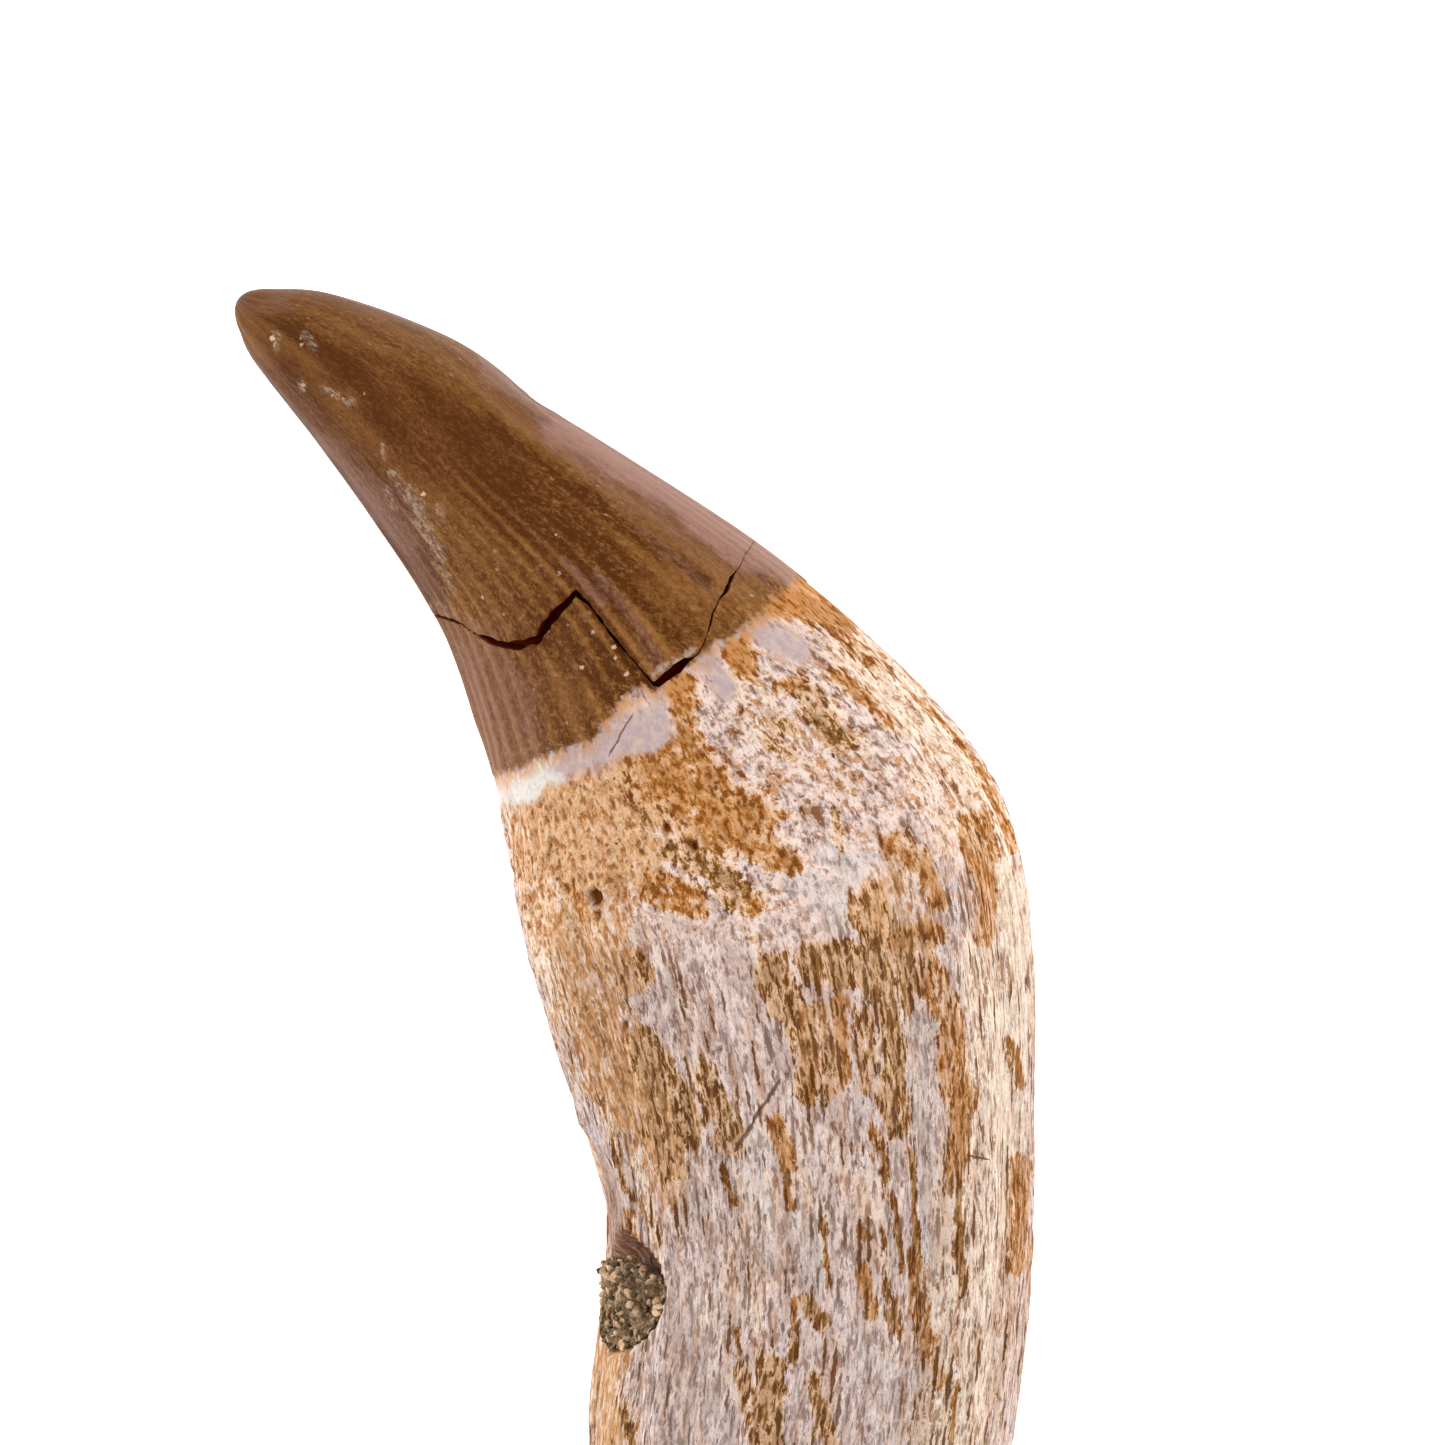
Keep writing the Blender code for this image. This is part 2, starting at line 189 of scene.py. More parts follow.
# Where colours, wear and painted light lie on the upper side, as strokes: from x, y, to x, y, the reach and
# the strength
STROKES = {
    "rust": (
        (1.6, 13.3, 4.6, 10.9, 1.9, 1.1), (0.4, 13.8, 3.4, 12.6, 1.2, 0.7),
        (4.4, 12.6, 6.0, 10.8, 0.9, 0.9), (2.1, 17.2, 2.9, 14.6, 0.55, 1.0),
        (5.0, 19.7, 5.5, 18.3, 0.6, 1.25), (6.6, 21.7, 10.2, 20.9, 0.9, 1.35),
        # The narrow strokes along the shoulder's right outline are partly rust and partly a painted shade
        # darkening the outline
        (9.6, 20.9, 12.2, 18.3, 0.5, 0.5), (12.6, 18.6, 14.8, 16.1, 0.2, 0.9),
        (14.8, 16.1, 16.9, 13.8, 0.2, 0.8), (16.9, 13.8, 18.95, 9.9, 0.24, 1.0),
        (9.9, 18.0, 12.6, 15.4, 0.3, 0.85), (7.3, 17.4, 8.2, 17.5, 0.4, 0.9),
        (0.6, 7.2, 2.6, 6.5, 0.75, 0.8), (4.6, 7.2, 6.0, 6.2, 0.5, 0.8), (6.0, 9.2, 8.0, 8.5, 0.5, 0.95),
        (-3.4, 7.6, -2.6, 5.9, 0.35, 0.75), (13.0, 9.4, 14.4, 8.6, 0.6, 0.75),
        (14.4, 8.3, 14.8, 6.6, 0.4, 1.0), (17.1, 10.6, 17.6, 5.2, 0.6, 0.9),
        (18.4, 11.2, 19.0, 9.3, 0.3, 0.7), (12.6, 4.4, 14.6, 4.9, 0.55, 0.85),
        (14.4, 3.4, 15.6, 0.2, 0.5, 0.8), (15.4, -0.6, 16.3, -3.4, 0.6, 1.0),
        (16.2, -3.4, 16.0, -7.0, 0.4, 1.0), (14.1, -11.0, 14.6, -15.2, 0.36, 1.1),
        (14.7, -15.6, 15.2, -17.6, 0.3, 0.8), (19.3, -6.4, 19.2, -11.9, 0.35, 1.0),
        (8.2, 1.0, 8.8, -2.8, 0.45, 0.9), (10.2, 1.4, 10.4, -2.2, 0.4, 0.8),
        (7.0, -4.3, 7.5, -6.8, 0.38, 1.05), (11.3, -11.9, 11.9, -14.2, 0.3, 1.05),
        (11.8, -4.9, 12.2, -5.4, 0.28, 0.9), (-0.5, -9.4, -0.2, -11.4, 0.4, 0.9),
    ),
    "tan": (
        (-4.0, 11.0, 0.0, 12.2, 1.9, 1.25), (-4.2, 9.0, -0.4, 9.2, 1.9, 1.15),
        (-4.6, 6.8, -2.2, 3.8, 1.5, 0.85), (-1.6, 6.6, -0.6, 2.6, 1.1, 0.8),
        (-2.6, 2.4, -0.8, -2.6, 1.5, 0.85), (-0.8, -2.0, 1.4, -5.6, 1.5, 0.9),
        (0.6, -5.6, 1.6, -8.2, 0.7, 0.8), (5.0, 11.0, 7.4, 9.0, 0.8, 0.6),
        (12.4, 7.6, 13.6, 5.4, 1.0, 0.6), (-1.2, -15.2, -1.0, -20.6, 0.9, 0.95),
    ),
    "olive": (
        (2.4, 9.2, 4.7, 7.2, 0.75, 0.95), (8.8, 17.0, 10.4, 14.4, 0.55, 0.95),
        (7.3, 15.4, 8.0, 15.2, 0.4, 1.05), (6.6, 14.7, 7.0, 14.4, 0.28, 1.05),
        (7.3, 14.2, 7.8, 13.9, 0.25, 0.9), (10.0, 11.0, 10.4, 9.2, 0.2, 0.85),
        (16.9, 10.2, 17.1, 9.4, 0.35, 0.95), (14.0, 4.4, 14.4, 4.2, 0.3, 1.0),
        (11.6, 6.8, 12.6, 4.9, 0.8, 0.7), (6.7, 3.4, 7.4, 1.4, 0.85, 1.0), (9.2, 3.8, 13.0, 2.6, 1.2, 1.0),
        (12.5, 1.6, 13.0, -3.8, 0.5, 1.1), (9.2, 0.8, 9.8, -2.6, 0.6, 0.7),
        (11.4, 0.8, 11.6, -2.6, 0.4, 0.7), (7.6, 0.8, 8.4, -2.8, 0.4, 0.6),
        (12.4, -3.0, 13.2, -4.6, 0.45, 1.0), (-0.3, 3.6, 0.4, 2.8, 0.35, 0.85),
        (-0.9, 2.6, -0.6, 2.2, 0.25, 0.8), (0.1, -0.9, 2.0, -3.2, 0.8, 0.95),
        (2.0, -3.2, 2.6, -5.0, 0.7, 0.8), (1.0, -4.6, 2.0, -7.0, 0.6, 0.75),
        (3.6, -2.2, 4.6, -5.6, 0.7, 0.6), (8.3, -13.6, 9.2, -14.6, 0.4, 0.65),
        (6.8, -16.2, 6.8, -20.6, 0.6, 0.85), (5.2, -17.0, 6.4, -20.6, 0.45, 1.0),
        (8.8, -17.2, 9.6, -20.6, 0.35, 0.65),
    ),
    "streak": (
        (15.9, -7.0, 16.3, -13.0, 0.24, 1.0), (13.6, -3.0, 14.0, -7.6, 0.22, 0.85),
        (14.0, -7.6, 14.1, -11.0, 0.2, 1.0), (18.9, -0.4, 19.3, -2.6, 0.25, 0.8),
        (7.5, -6.8, 7.8, -8.8, 0.25, 0.75), (4.2, -6.6, 4.9, -8.6, 0.16, 0.9),
        (9.4, -10.0, 9.6, -12.8, 0.17, 0.9), (10.6, -5.8, 12.2, -6.3, 0.2, 0.6),
        (12.3, -5.6, 12.6, -8.2, 0.2, 1.0), (5.0, -15.0, 5.1, -17.0, 0.16, 0.9),
        (15.9, -17.4, 15.7, -20.6, 0.2, 0.8), (-1.8, -3.0, -1.1, -4.9, 0.12, 0.7),
        (-1.1, -4.9, -0.4, -8.0, 0.12, 0.75), (-0.4, -8.0, 1.4, -10.6, 0.13, 0.9),
        (9.3, -9.4, 9.4, -10.2, 0.22, 1.1), (11.3, -9.6, 11.5, -10.2, 0.24, 1.1),
        (12.9, -8.2, 13.3, -11.8, 0.14, 1.0), (13.9, -5.9, 14.1, -11.0, 0.13, 1.2),
        (14.2, -11.4, 14.5, -14.8, 0.2, 1.0), (12.4, -9.8, 12.7, -15.0, 0.14, 0.9),
        (13.0, -13.2, 13.2, -15.2, 0.2, 1.0), (7.9, -13.2, 7.9, -16.4, 0.2, 0.8),
        (-0.4, -18.8, -0.1, -20.6, 0.16, 1.1),
    ),
    # Pale cream bone, partly a painted highlight along both margins of the root, where the side lights fall
    "cream": (
        (-5.4, 9.6, -4.6, 3.4, 1.2, 1.1), (-4.6, 4.4, -2.8, 0.6, 0.8, 1.0),
        (-2.4, 6.2, -0.8, 4.4, 1.0, 0.9), (-2.4, -1.0, 0.2, -6.0, 0.8, 0.8),
        (-1.4, -14.9, -1.2, -20.6, 1.2, 1.5), (-0.1, -6.4, 0.9, -9.9, 0.3, 1.1),
        (0.9, -9.9, 1.35, -13.0, 0.22, 1.2), (1.35, -13.0, 0.5, -15.4, 0.22, 1.2),
        (11.2, 19.4, 16.2, 14.2, 1.5, 1.1), (15.9, 14.4, 18.6, 10.6, 1.2, 1.1),
        (14.2, 12.6, 16.0, 10.0, 1.2, 0.6), (18.4, 8.8, 19.5, 1.0, 0.5, 1.3),
        (17.2, 4.0, 18.0, -8.0, 1.6, 0.9), (18.8, 1.0, 18.5, -9.0, 0.8, 1.45),
        (17.4, -8.0, 16.0, -20.6, 2.2, 0.9), (5.7, 16.6, 10.2, 12.2, 1.5, 0.5),
    ),
    "pale": (
        (8.4, 7.5, 10.8, 6.6, 1.1, 0.9), (10.4, 8.8, 11.8, 8.6, 0.8, 0.9),
        (13.7, 1.4, 14.2, -4.4, 0.5, 1.1), (14.4, -4.4, 14.8, -12.0, 0.4, 1.0),
        (5.4, -4.9, 6.4, -6.8, 0.6, 0.8), (5.2, -6.5, 6.6, -11.0, 1.0, 0.8),
        (8.0, -9.6, 8.8, -12.6, 0.9, 0.8), (11.0, -16.4, 14.0, -17.6, 0.7, 0.7),
        (1.8, -13.6, 3.4, -20.6, 1.5, 0.5), (2.8, -8.4, 3.4, -8.8, 0.4, 0.9),
        (9.6, -14.2, 11.4, -15.2, 0.5, 0.6), (12.6, -18.0, 12.8, -20.6, 0.7, 0.6),
        (-2.8, -2.4, -2.1, -5.0, 0.4, 1.2), (-2.1, -5.0, -1.3, -9.2, 0.45, 1.3),
        (-5.8, 12.2, -5.0, 12.8, 1.2, 1.1),
    ),
    "smooth": (
        (-5.9, 11.9, -4.0, 13.4, 0.6, 1.2), (-4.0, 13.4, -1.6, 14.4, 0.75, 1.15),
        (-1.6, 14.6, 0.9, 15.4, 1.0, 1.15), (3.4, 18.7, 4.3, 17.2, 0.6, 1.1),
        (4.2, 19.4, 6.0, 20.5, 0.2, 1.0), (6.1, 20.2, 7.9, 19.3, 0.6, 1.0),
    ),
    "scuff": (
        (-18.0, 34.9, -17.9, 34.3, 0.2, 0.9), (-16.6, 34.9, -16.2, 34.3, 0.24, 0.9),
        (-16.7, 32.5, -16.6, 32.2, 0.18, 1.0), (-15.6, 32.2, -14.2, 31.5, 0.2, 0.95),
        (-12.7, 29.5, -12.5, 28.7, 0.12, 0.8), (-12.1, 28.0, -11.4, 26.8, 0.3, 0.8),
        (-11.5, 27.0, -10.4, 25.0, 0.45, 1.0), (-10.3, 25.2, -9.8, 23.6, 0.35, 0.95),
        (-9.8, 23.6, -9.1, 22.1, 0.25, 0.6), (-12.5, 27.2, -12.2, 26.4, 0.25, 0.55),
        (-9.9, 26.4, -9.6, 25.5, 0.3, 0.5), (-10.2, 21.4, -7.8, 20.4, 0.3, 0.45),
        (0.9, 17.9, 2.9, 19.2, 0.16, 2.0),
    ),
    "speckle": (
        (-16.8, 36.4, -8.3, 33.8, 0.8, 0.9), (-12.8, 34.6, -8.0, 33.2, 0.8, 1.1),
        (-4.1, 26.6, -1.3, 23.6, 1.9, 0.9), (-6.8, 22.1, -0.8, 16.6, 2.4, 0.75),
        (-9.0, 24.6, -6.0, 20.6, 1.2, 0.7), (-5.8, 14.7, -1.8, 16.6, 1.0, 0.8),
        (2.7, 20.6, 6.2, 21.6, 1.3, 0.8), (0.2, 21.6, 1.2, 18.6, 1.0, 0.5),
    ),
    # Painted sheen: mauve and pale pink along the crown's edges and ridges, standing in for the white
    # surroundings reflected there
    "mauve": (
        (-19.6, 36.2, -17.6, 36.7, 0.5, 0.6), (-18.6, 33.6, -15.4, 29.6, 0.6, 0.45),
        (-15.4, 29.6, -11.4, 24.6, 1.1, 0.7), (-11.4, 24.6, -9.4, 21.4, 0.8, 0.5),
        (-9.4, 20.6, -7.0, 13.4, 0.5, 0.6), (-7.8, 18.6, -5.8, 14.4, 2.2, 0.75),
        (-4.8, 18.4, -3.2, 15.6, 1.0, 0.35), (-7.4, 33.2, -3.4, 30.2, 0.9, 0.9),
        (-3.4, 30.2, 6.6, 24.2, 1.3, 1.2), (5.4, 24.6, 8.0, 22.8, 0.7, 1.1),
        (-3.6, 23.6, -1.8, 21.4, 0.3, 0.7), (-2.2, 22.8, 1.4, 18.0, 0.45, 0.75),
        (-2.8, 27.8, 0.4, 25.2, 0.35, 0.5), (0.4, 25.2, 3.9, 21.9, 0.4, 0.6),
    ),
    # Painted shade: darker enamel down the crown's middle
    "dark": (
        (-17.6, 35.4, -12.4, 31.6, 0.9, 1.0), (-17.6, 32.4, -10.4, 22.4, 1.4, 0.9),
        (-12.4, 31.6, -6.4, 27.4, 1.6, 1.0), (-6.4, 27.4, -1.4, 22.6, 1.9, 0.8),
        (-7.4, 30.4, -3.0, 27.0, 0.3, 1.2), (-3.0, 27.0, 3.4, 22.6, 0.35, 1.2),
        (-0.6, 23.4, 2.2, 20.4, 0.9, 0.5), (-4.0, 20.4, -0.4, 16.8, 1.1, 0.8),
    ),
}
# What the unseen side gets instead of strokes: share of it that is marked, and the size of the marks
UNDERSIDE = {
    "rust": (0.3, 5.0), "olive": (0.15, 4.0), "tan": (0.3, 8.0), "cream": (0.4, 9.0), "pale": (0.25, 6.0),
}

# Noise in the relief and in where marks end: cells to a millimetre round and along the tooth, and a seed
RELIEF_NOISE = {
    "flute wobble": ((0.3, 0.3, 0.05), 1),
    "flute strength": ((0.45, 0.45, 0.08), 2),
    "enamel edge": ((1.1, 1.1, 0.2), 3),
    "chip": ((1.2, 1.2, 1.2), 4),
    "fibre": ((2.6, 2.6, 0.42), 5),
    "fine fibre": ((3.6, 3.6, 0.8), 6),
    "bend": ((0.5, 0.5, 0.5), 7),
    "pore": ((2.7, 2.7, 1.7), 8),
    "crown": ((0.8, 0.8, 0.5), 9),
    "porosity": ((0.25, 0.25, 0.12), 11),
    "broad swelling": ((0.9, 0.9, 0.15), 12),
    "fine swelling": ((2.0, 2.0, 0.5), 13),
    "lower limit": ((0.5, 0.5, 0.25), 15),
}
# Roughness of the broken end: height, cells to a millimetre, seed
END_NOISE = ((1.0, 0.45, 31), (0.3, 1.3, 32), (0.12, 4.0, 33))

# The middle of the picture, which the camera looks straight down on, and how far above it the lens is
VIEW_CENTRE = (4.325, 15.525, 8.5)
CAMERA_HEIGHT = 240.0

# The floor in metres, and the soft square lights: place, size and the setting with the power
FLOOR_REACH, FLOOR_DROP = 1.5, 0.0002
LIGHTS = (
    ("left_light", (-0.30, 0.06, 0.20), 0.22, "side_light"),
    ("right_light", (0.30, 0.06, 0.20), 0.22, "side_light"),
    ("top_light", (0.0, 0.02, 0.45), 0.3, "top_light"),
)

# Grain in the materials: cells to a millimetre, and the noise's detail, roughness and distortion
Grain = namedtuple("Grain", "per_mm detail roughness distortion", defaults=(2.0, 0.55, 0.0))
ENAMEL_GRAINS = {
    "streaks": Grain((2.4, 2.4, 0.12), 3.0, 0.6),
    "cloud": Grain((0.3, 0.3, 0.14)),
    "mottle": Grain((3.4, 3.4, 2.72), 4.0, 0.78, 0.3),
    "grit": Grain(7.0, 2.0, 0.6),
    "dust": Grain((3.0, 3.0, 2.4), 4.0, 0.75),
}
BONE_GRAINS = {
    "mottle": Grain((2.9, 2.9, 1.7), 3.0, 0.65, 0.25),
    "hair": Grain((4.6, 4.6, 1.1), 3.0, 0.7, 0.4),
    "grit": Grain((7.5, 7.5, 3.4), 2.0, 0.6, 0.4),
    "clusters": Grain((0.6, 0.6, 0.3)),
    "streaky": Grain((3.2, 3.2, 0.3), 4.0, 0.7),
    "broad": Grain((0.8, 0.8, 0.14), 3.0, 0.6),
    "blotchy": Grain(1.7, 4.0, 0.72),
}
EDGE_GRAIN, SPECK_GRAIN = Grain(2.2, 4.0, 0.6), Grain(9.0)
SEDIMENT_GRAIN, CRUMB_GRAIN = Grain(4.0, 4.0, 0.65), Grain(3.0 / MM, 3.0, 0.7)
# The relief that the grain stands for in metres, and how much clean surfaces shine
GRAIN_HEIGHT, OPEN_SHINE = 0.00015, 0.07
# Pits in the bone: cells to a millimetre across and along, and the share with a pit, at least and at most
BONE_PITS = {
    "slits": (2.3, 0.22, 0.5, 0.85),
    "fine slits": (2.7, 0.8, 0.4, 0.75),
    "pores": (1.9, 1.0, 0.25, 0.55),
    "fine pores": (2.6, 1.5, 0.2, 0.4),
    "gaps": (2.2, 0.15, 0.4, 0.75),
}

Section = namedtuple("Section", "centre across half_width half_thickness middle")


def from_screen(red, green, blue):
    """A colour as a screen shows it, 0 to 255, turned to the linear values that a shader reads."""
    shares = (value / 255.0 for value in (red, green, blue))
    return tuple(s / 12.92 if s <= 0.04045 else ((s + 0.055) / 1.055) ** 2.4 for s in shares)


def colour_property(name, description, red, green, blue):
    return FloatVectorProperty(
        name=name, description=description, subtype="COLOR", size=3, min=0.0, max=1.0,
        default=from_screen(red, green, blue),
    )


def length_property(name, description, millimetres):
    return FloatProperty(
        name=name, description=description, unit="LENGTH", default=millimetres * MM, precision=5,
    )


def power_property(name, description, watts):
    return FloatProperty(name=name, description=description, unit="POWER", default=watts)


class ToothShape(bpy.types.PropertyGroup):
    flutes: IntProperty(name="Flutes", description="Flutes round the crown", default=48, min=0)
    flute_depth: length_property("Flute depth", "Half the height from trough to crest", 0.13)
    ledge_height: length_property("Enamel thickness", "Step down from the enamel to the bone", 0.07)
    fibre_depth: length_property("Fibre depth", "Depth of the long grooves in the root", 0.11)
    pore_depth: length_property("Pore depth", "Depth of the pores in the upper root", 0.12)


class EnamelLook(bpy.types.PropertyGroup):
    # Light brown is a painted highlight on the flute crests, and dark brown also serves as the painted shade
    # down the crown's middle
    dark: colour_property("Dark brown", "The enamel along the middle of the crown", 84, 42, 4)
    light: colour_property("Light brown", "The crests of the flutes", 156, 104, 54)
    # Mauve and blush are a painted sheen along the crown's edges and ridges
    mauve: colour_property("Mauve", "The enamel along both edges of the crown", 138, 100, 86)
    painted_sheen: colour_property("Blush", "The palest enamel, along the right edge", 168, 124, 108)
    gold: colour_property("Gold", "Fine specks in the enamel", 178, 128, 72)
    chalk: colour_property("Chalk", "Scuffs and adhering chalk", 190, 170, 150)
    roughness: FloatProperty(name="Roughness", description="Of clean enamel", default=0.36, subtype="FACTOR")


class BoneLook(bpy.types.PropertyGroup):
    # The dark colours go into the grooves and pits as grime and painted shade, the pale ones onto the crests
    # as wear and a painted highlight
    lilac: colour_property("Lilac grey", "Clean fibrous bone", 206, 182, 179)
    lilac_dark: colour_property("Dark lilac", "The grooves of lilac bone", 130, 88, 62)
    lilac_pale: colour_property("Pale lilac", "The worn crests of lilac bone", 252, 232, 222)
    # Peach and pale peach along the shoulder and flanks are partly a painted highlight where the side lights
    # fall
    peach: colour_property("Peach", "Warm bone of the shoulder and both flanks", 240, 200, 173)
    peach_dark: colour_property("Dark peach", "The grooves of peach bone", 142, 90, 48)
    peach_pale: colour_property("Pale peach", "The worn crests of peach bone", 255, 234, 214)
    pale: colour_property("Pale", "Bleached streaks", 214, 200, 195)
    mauve: colour_property("Lavender", "The shaded part of the smooth band", 168, 146, 148)
    collar: colour_property("Collar", "The smooth band below the enamel", 218, 214, 206)
    tan: colour_property("Tan", "Light brown stains below the collar", 220, 162, 110)
    tan_dark: colour_property("Dark tan", "The grooves of tan bone", 146, 88, 38)
    tan_pale: colour_property("Pale tan", "The worn crests of tan and olive bone", 250, 214, 176)
    rust: colour_property("Rust", "Orange brown iron stains", 178, 108, 34)
    rust_dark: colour_property("Dark rust", "The grooves of rusty bone", 122, 66, 14)
    rust_pale: colour_property("Pale rust", "The worn crests of stained bone", 222, 166, 108)
    olive: colour_property("Olive", "Dark olive brown stains", 152, 102, 42)
    olive_dark: colour_property("Dark olive", "The grooves of olive bone", 98, 58, 16)
    crack: colour_property("Crack", "Shadowed dirt in the cracks", 92, 26, 9)
    roughness: FloatProperty(name="Roughness", description="Of the bone", default=0.82, subtype="FACTOR")


class SedimentLook(bpy.types.PropertyGroup):
    dark: colour_property("Dark", "The matrix between the grains", 74, 54, 20)
    light: colour_property("Light", "The palest grains", 236, 196, 156)
    grain_size: length_property("Grain size", "Across a grain of the sediment", 0.6)
    grains: IntProperty(name="Grains", description="Grains on the sediment", default=260, min=0)
    crumb: colour_property("Crumbs", "Crumbs of matrix that stick to the crown", 214, 178, 148)


class StageLook(bpy.types.PropertyGroup):
    floor: colour_property("Floor", "The lit surface under the tooth", 250, 250, 250)
    glow: FloatProperty(name="Glow", description="How much the floor shines by itself", default=1.0)
    side_light: power_property("Side lights", "Power of each light at the side", 0.8)
    top_light: power_property("Top light", "Power of the light above", 0.2)
    air: FloatProperty(name="Surroundings", description="Strength of the light all round", default=0.42)
    camera_height: length_property("Camera height", "From the middle of the tooth to the lens", CAMERA_HEIGHT)
    view_height: length_property("View height", "Height of what the picture takes in", 72.25)


def smooth_step(low, high, value):
    share = np.clip((value - low) / (high - low), 0.0, 1.0)
    return share * share * (3.0 - 2.0 * share)


def bell(distance, reach):
    return np.exp(-((distance / reach) ** 2))


def angle_between(a, b):
    """The difference of two angles in degrees, from -180 to 180."""
    return (a - b + 180.0) % 360.0 - 180.0


def smooth_noise(points, seed):
    """Value noise from -1 to 1, with cells one unit wide."""
    cell = np.floor(points).astype(np.int64)
    share = points - cell
    share = share * share * (3.0 - 2.0 * share)
    total = np.zeros(len(points))
    for corner in itertools.product((0, 1), repeat=3):
        key = ((cell + corner) * (73856093, 19349663, 83492791)).sum(axis=1) + seed * 40503
        key = ((key ^ (key >> 13)) * 1274126177) & 0xFFFFFFFF
        key = ((key ^ (key >> 15)) * 2246822519) & 0xFFFFFFFF
        value = ((key ^ (key >> 16)) & 0xFFFF) / 32767.5 - 1.0
        total += value * np.prod(np.where(corner, share, 1.0 - share), axis=1)
    return total


def along_stations(place):
    """Rows of the station table at these places, on a Catmull-Rom curve."""
    last = len(STATION_ROWS) - 1
    first = np.clip(np.floor(place).astype(int), 0, last - 1)
    share = (place - first)[:, None]
    a, b, c, d = (STATION_ROWS[np.clip(first + step, 0, last)] for step in (-1, 0, 1, 2))
    return 0.5 * (
        2.0 * b
        + (c - a) * share
        + (2.0 * a - 5.0 * b + 4.0 * c - d) * share**2
        + (3.0 * b - a - 3.0 * c + d) * share**3
    )


def sections_at(place):
    """The ovals across the tooth at places along it, counted in stations from the tip."""
    rows = along_stations(np.asarray(place, float))
    left, right = rows[:, 0:2], rows[:, 2:4]
    width = np.linalg.norm(right - left, axis=1)
    return Section(
        centre=(left + right) / 2.0,
        across=(right - left) / width[:, None],
        half_width=width / 2.0,
        half_thickness=rows[:, 4] / 2.0,
        middle=rows[:, 5],
    )


def towards_root(section):
    return np.column_stack([section.across[:, 1], -section.across[:, 0]])


def surface_points(place, angle, outward=0.0, share=1.0):
    """Points on the tooth. outward lifts them off the surface, and share draws them in to the axis."""
    section = sections_at(place)
    turn = np.radians(angle)
    out = np.column_stack([np.cos(turn) / section.half_width, np.sin(turn) / section.half_thickness])
    out /= np.linalg.norm(out, axis=1)[:, None]
    sideways = section.half_width * np.cos(turn) + out[:, 0] * outward
    upward = section.half_thickness * np.sin(turn) + out[:, 1] * outward
    flat = section.centre + section.across * (sideways * share)[:, None]
    return np.column_stack([flat, section.middle + upward * share])


def share_across(section, flat):
    """How far sideways points lie in a section: -1 at its left edge and 1 at its right one."""
    return ((flat - section.centre) * section.across).sum(axis=1) / section.half_width


def places_of(points):
    """(place, angle, depth) of points on or in the tooth: depth is how far inside the plain oval they lie."""
    flat = points[:, :2]
    low, high = np.zeros(len(points)), np.full(len(points), ROOT_END)
    for _ in range(30):
        place = (low + high) / 2.0
        section = sections_at(place)
        beyond = ((flat - section.centre) * towards_root(section)).sum(axis=1) > 0.0
        low, high = np.where(beyond, place, low), np.where(beyond, high, place)
    section = sections_at(place)
    sideways = share_across(section, flat)
    upward = (points[:, 2] - section.middle) / section.half_thickness
    depth = (1.0 - np.hypot(sideways, upward)) * (section.half_width + section.half_thickness) / 2.0
    return place, np.degrees(np.arctan2(upward, sideways)), depth


def as_seen(points):
    """Where the camera sees points of the tooth: the higher ones look further from the picture's middle."""
    middle = np.array(VIEW_CENTRE[:2])
    nearer = CAMERA_HEIGHT / (CAMERA_HEIGHT + VIEW_CENTRE[2] - points[:, 2])
    return middle + (points[:, :2] - middle) * nearer[:, None]


def places_from_above(outline):
    """(place, angle) of the points of the upper surface that the camera sees at the outline's points."""
    wanted = np.array(outline)
    flat = wanted + MIDDLE[:2]
    for _ in range(4):
        place, _, _ = places_of(np.column_stack([flat, np.zeros(len(flat))]))
        sideways = share_across(sections_at(place), flat)
        angle = np.degrees(np.arccos(np.clip(sideways, -1.0, 1.0)))
        flat = flat + wanted - as_seen(surface_points(place, angle) - MIDDLE)
    return place, angle


def summed_lengths(points):
    """The length of the way through these points, up to each of them."""
    return np.concatenate([[0.0], np.cumsum(np.linalg.norm(np.diff(points, axis=0), axis=1))])


LENGTH_PLACES = np.linspace(0.0, ROOT_END, 400)
LENGTHS = summed_lengths(sections_at(LENGTH_PLACES).centre)
# Millimetres round the tooth and along it, for the whole of its laid out surface
BAKE_SIZE = (62.8, LENGTHS[-1] + TIP_LENGTH + END_LENGTH, 0.0)


def length_at(place):
    return np.interp(place, LENGTH_PLACES, LENGTHS)


def enamel_edge_table():
    """Angles round the tooth, rising, and the place where the enamel ends at each."""
    place, angle = places_from_above(ENAMEL_EDGE)
    below = np.arange(205.0, 350.0, 20.0)
    turn = np.radians(below)
    unseen = CROWN_BASE + (0.1 - 0.25 * np.cos(turn) + 0.1 * np.sin(turn))
    angles, places = np.concatenate([angle, below]), np.concatenate([place, unseen])
    order = np.argsort(angles)
    return angles[order], places[order]


EDGE_ANGLES, EDGE_PLACES = enamel_edge_table()


def enamel_edge(angle):
    return np.interp(np.asarray(angle) % 360.0, EDGE_ANGLES, EDGE_PLACES, period=360.0)


def straightened(place, angle):
    """Where a point lies if the tooth is a straight rod of 10 mm radius, so that grain follows the tooth."""
    turn = np.radians(angle)
    return np.column_stack([10.0 * np.cos(turn), 10.0 * np.sin(turn), length_at(place)])


def column_angles():
    """Angles round the tooth, from underneath, up the right side and down the left one."""
    quarter = LOWER_COLUMNS // 2
    return np.concatenate([
        np.linspace(-90.0, 0.0, quarter, endpoint=False),
        np.linspace(0.0, 180.0, UPPER_COLUMNS, endpoint=False),
        np.linspace(180.0, 270.0, quarter, endpoint=False),
    ])


